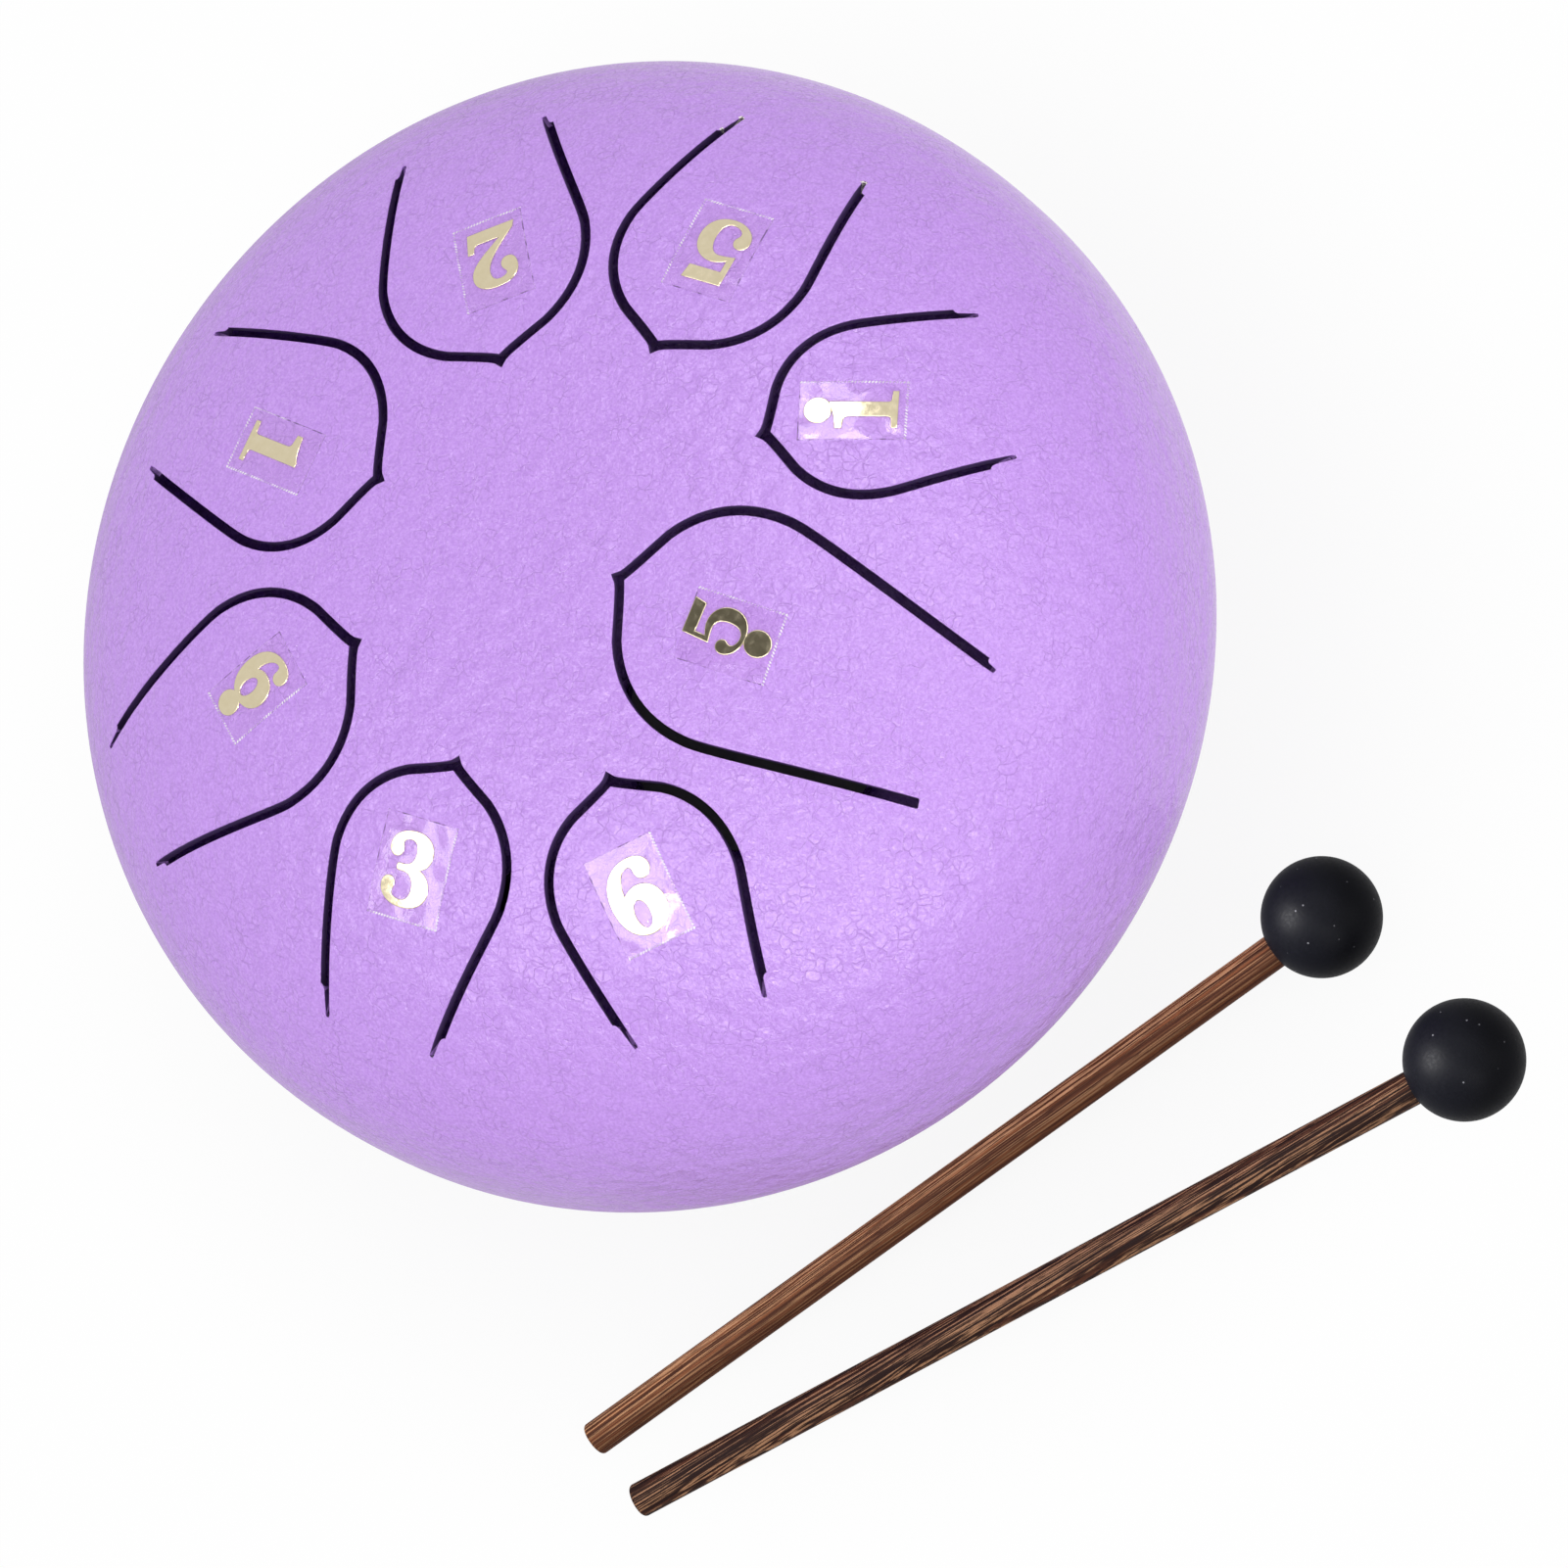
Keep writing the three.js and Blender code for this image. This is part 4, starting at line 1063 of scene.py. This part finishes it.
for side, spec in mallets.items():
    low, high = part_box(side + "_mallet_head")
    middle = (low + high) / 2
    tilt = math.asin((middle.z - mallet["stickRadius"]) / spec["reach"])
    bearing = math.radians(spec["bearing"])
    axis = Vector((math.cos(bearing) * math.cos(tilt), math.sin(bearing) * math.cos(tilt), math.sin(tilt)))
    level = Vector((0, 0, 1)).cross(axis).normalized()
    stand = Matrix((level, axis.cross(level), axis)).transposed().to_4x4()
    place = Matrix.Translation(middle) @ stand
    pool = turnProfile(headProfile(), mallet["headSides"])
    head = makePiece(side + "_mallet_ball", pool, {"turned": headRubber})
    pool = turnProfile(stickProfile(spec["reach"]), mallet["stickSides"])
    stick = makePiece(side + "_mallet_rod", pool, {"turned": spec["wood"]})
    for piece, node in ((head, "head"), (stick, "stick")):
        piece.matrix_world = place
        bpy.context.view_layer.update()
        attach(piece, side + "_mallet")
        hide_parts(side + "_mallet_" + node)
print("mallets:", len(mallets))

# camera where the photograph was taken from
view = {
    "place": (-0.07224, -0.44568, 1.02109), "right": (0.4053, -0.8439, -0.3515),
    "up": (0.9115, 0.3432, 0.2269), "back": (-0.0709, -0.4124, 0.9083),
    "lens": 185.62, "sensor": 36, "nearest": 0.05, "farthest": 20,
}
lens = bpy.data.cameras.new("photoCamera")
lens.lens, lens.sensor_width = view["lens"], view["sensor"]
lens.clip_start, lens.clip_end = view["nearest"], view["farthest"]
camera = newObject("photoCamera", lens)
aim = Matrix((view["right"], view["up"], view["back"])).transposed().to_4x4()
camera.matrix_world = Matrix.Translation(view["place"]) @ aim
bpy.context.scene.camera = camera
bpy.context.scene.view_settings.view_transform = "Standard"

# floor: takes the shadow near the drum, has painted shade beneath it, and shows white farther out
stage = {
    "radius": 4.0, "sides": 64, "under": 0.045, "edge": 0.062, "clear": 0.125,
    "nearWhite": 0.90, "farWhite": 0.985, "paintedShadeBeneath": (0.16, 0.16, 0.16, 1),
    "pale": ((0.57, 0.57, 0.57, 1), (0.62, 0.62, 0.62, 1)), "paleScale": 3.0,
    "paintedLitSide": (0.78, -0.62, 0.0), "paintedLitGloss": (0.0, 0.07, 0.25, 0.8),
    "farGloss": (0.15, 0.35, 0.0, 0.5),
}
floorMaterial, tree, shader, place = newMaterial("paleFloor", {"Roughness": 0.9, "Specular IOR Level": 0.1})
path = addNode(tree, "ShaderNodeLightPath").outputs
fromAxis = moveNode(tree, "SUBTRACT", place, (*drum["axis"], 0.0))
far = addNode(tree, "ShaderNodeVectorMath", {0: fromAxis}, operation="LENGTH").outputs["Value"]
beyond = ramp(tree, far, stage["under"], stage["edge"])
pale = mixColour(tree, noise(tree, place, stage["paleScale"]), *stage["pale"])
# painted shade: the floor's colour is dark beneath the drum
feed(tree, shader, {"Base Color": mixColour(tree, beyond, stage["paintedShadeBeneath"], pale)})
# painted light: to glossy rays the floor is whiter on the side the right-hand lamps light
sockets = {0: fromAxis, 1: stage["paintedLitSide"]}
lit = addNode(tree, "ShaderNodeVectorMath", sockets, operation="DOT_PRODUCT").outputs["Value"]
glossWhite = larger(tree, ramp(tree, lit, *stage["paintedLitGloss"]), ramp(tree, far, *stage["farGloss"]))
mirrored = times(tree, larger(tree, path["Is Glossy Ray"], path["Is Transmission Ray"]), glossWhite)
seen = larger(tree, path["Is Camera Ray"], mirrored)
farWhite = ramp(tree, far, stage["edge"], stage["clear"], stage["nearWhite"], stage["farWhite"])
share = times(tree, seen, times(tree, beyond, farWhite))
white = addNode(tree, "ShaderNodeEmission", {"Color": (1, 1, 1, 1), "Strength": 1.0}).outputs[0]
sockets = {0: share, 1: tree.nodes["Principled BSDF"].outputs[0], 2: white}
surface = addNode(tree, "ShaderNodeMixShader", sockets).outputs[0]
feed(tree, tree.nodes["Material Output"].inputs, {"Surface": surface})
floorMesh = bpy.data.meshes.new("studioFloor")
floorRing = withZ(circle((0, 0), stage["radius"], stage["sides"]), 0.0)
floorMesh.from_pydata(floorRing.tolist(), [], [tuple(range(stage["sides"]))])
floorMesh.materials.append(floorMaterial)
floor = newObject("studioFloor", floorMesh)

# studio: soft boxes that look at the drum, a dark card that only gloss sees, and a white room
studio = {"target": Vector((0.015, 0.023, 0.085)), "far": 1.2, "fill": 0.82}
softBoxes = {
    "left": {"toward": (-0.444, 0.128, 0.887), "size": (0.80, 0.56), "power": 1.9, "gloss": False},
    "leftGlow": {"toward": (-0.444, 0.128, 0.887), "size": (0.80, 0.56), "power": 5.5, "dull": False},
    "topGlow": {"toward": (0.439, 0.137, 0.888), "size": (0.42, 0.34), "power": 1.7, "dull": False},
    "lowGlow": {"toward": (-0.439, -0.617, 0.653), "size": (1.4, 0.15), "power": 9.0, "dull": False,
                "turn": -22},
    "sideGlow": {"toward": (0.380, -0.352, 0.856), "size": (1.0, 0.18), "power": 4.2, "dull": False,
                 "turn": -27},
    "right": {"toward": (0.282, -0.922, 0.264), "size": (0.90, 0.50), "power": 2.9},
    "front": {"toward": (-0.540, -0.791, 0.281), "size": (0.70, 0.50), "power": 0.8},
    "heads": {"toward": (-0.458, 0.587, 0.665), "size": (0.38, 0.38), "power": 70.0, "only": "_mallet_ball"},
    "sticks": {"toward": (0.10, 0.56, 0.82), "size": (0.50, 0.50), "power": 6.0, "only": "_mallet_rod"},
}
darkCard = {"toward": (0.085, 0.127, 0.988), "far": 1.15, "size": (0.50, 0.40)}


def facing(spec):
    toward = Vector(spec["toward"]).normalized()
    across = Vector(view["up"]).cross(toward).normalized()
    turn = Matrix((across, toward.cross(across), toward)).transposed().to_4x4()
    turn = turn @ Matrix.Rotation(math.radians(spec.get("turn", 0)), 4, "Z")
    return Matrix.Translation(studio["target"] + toward * spec.get("far", studio["far"])) @ turn


for side, spec in softBoxes.items():
    lamp = bpy.data.lights.new(side + "SoftBox", "AREA")
    lamp.shape = "RECTANGLE"
    lamp.size, lamp.size_y = spec["size"]
    lamp.energy = spec["power"]
    box = newObject(side + "SoftBox", lamp)
    box.matrix_world = facing(spec)
    box.visible_camera = False
    box.visible_glossy = spec.get("gloss", True)
    box.visible_diffuse = spec.get("dull", True)
    lamp.cycles.use_multiple_importance_sampling = box.visible_glossy  # or it hides the glow box from gloss
    if "only" in spec:  # the mallets have lamps of their own, which the drum does not shade
        lit = bpy.data.collections.new(side + "Lit")
        for key in mallets:
            lit.objects.link(bpy.data.objects[key + spec["only"]])
        box.light_linking.receiver_collection = box.light_linking.blocker_collection = lit

cardMesh = bpy.data.meshes.new("darkCard")
halfWide, halfLong = (size / 2 for size in darkCard["size"])
cardCorners = [(x * halfWide, y * halfLong, 0) for x, y in ((-1, -1), (1, -1), (1, 1), (-1, 1))]
cardMesh.from_pydata(cardCorners, [], [(0, 1, 2, 3)])
cardMesh.materials.append(mottled("darkCard", {
    "fixed": {"Roughness": 0.8, "Specular IOR Level": 0.1}, "noise": (9.0,),
    "colours": ((0.20, 0.20, 0.19, 1), (0.26, 0.26, 0.25, 1)),
}))
card = newObject("darkCard", cardMesh)
card.matrix_world = facing(darkCard)
for ray in ("camera", "diffuse", "transmission", "shadow"):
    setattr(card, "visible_" + ray, False)

world = bpy.data.worlds.new("whiteRoom")
bpy.context.scene.world = world
world.use_nodes = True
tree = world.node_tree
path = addNode(tree, "ShaderNodeLightPath").outputs
seen = larger(tree, path["Is Camera Ray"], path["Is Glossy Ray"])
seen = larger(tree, seen, path["Is Transmission Ray"])
backdrop = tree.nodes["Background"].inputs
backdrop["Color"].default_value = (1, 1, 1, 1)
feed(tree, backdrop, {"Strength": ramp(tree, seen, 0.0, 1.0, studio["fill"], 1.0)})
print("studio and camera")

bpy.context.view_layer.update()
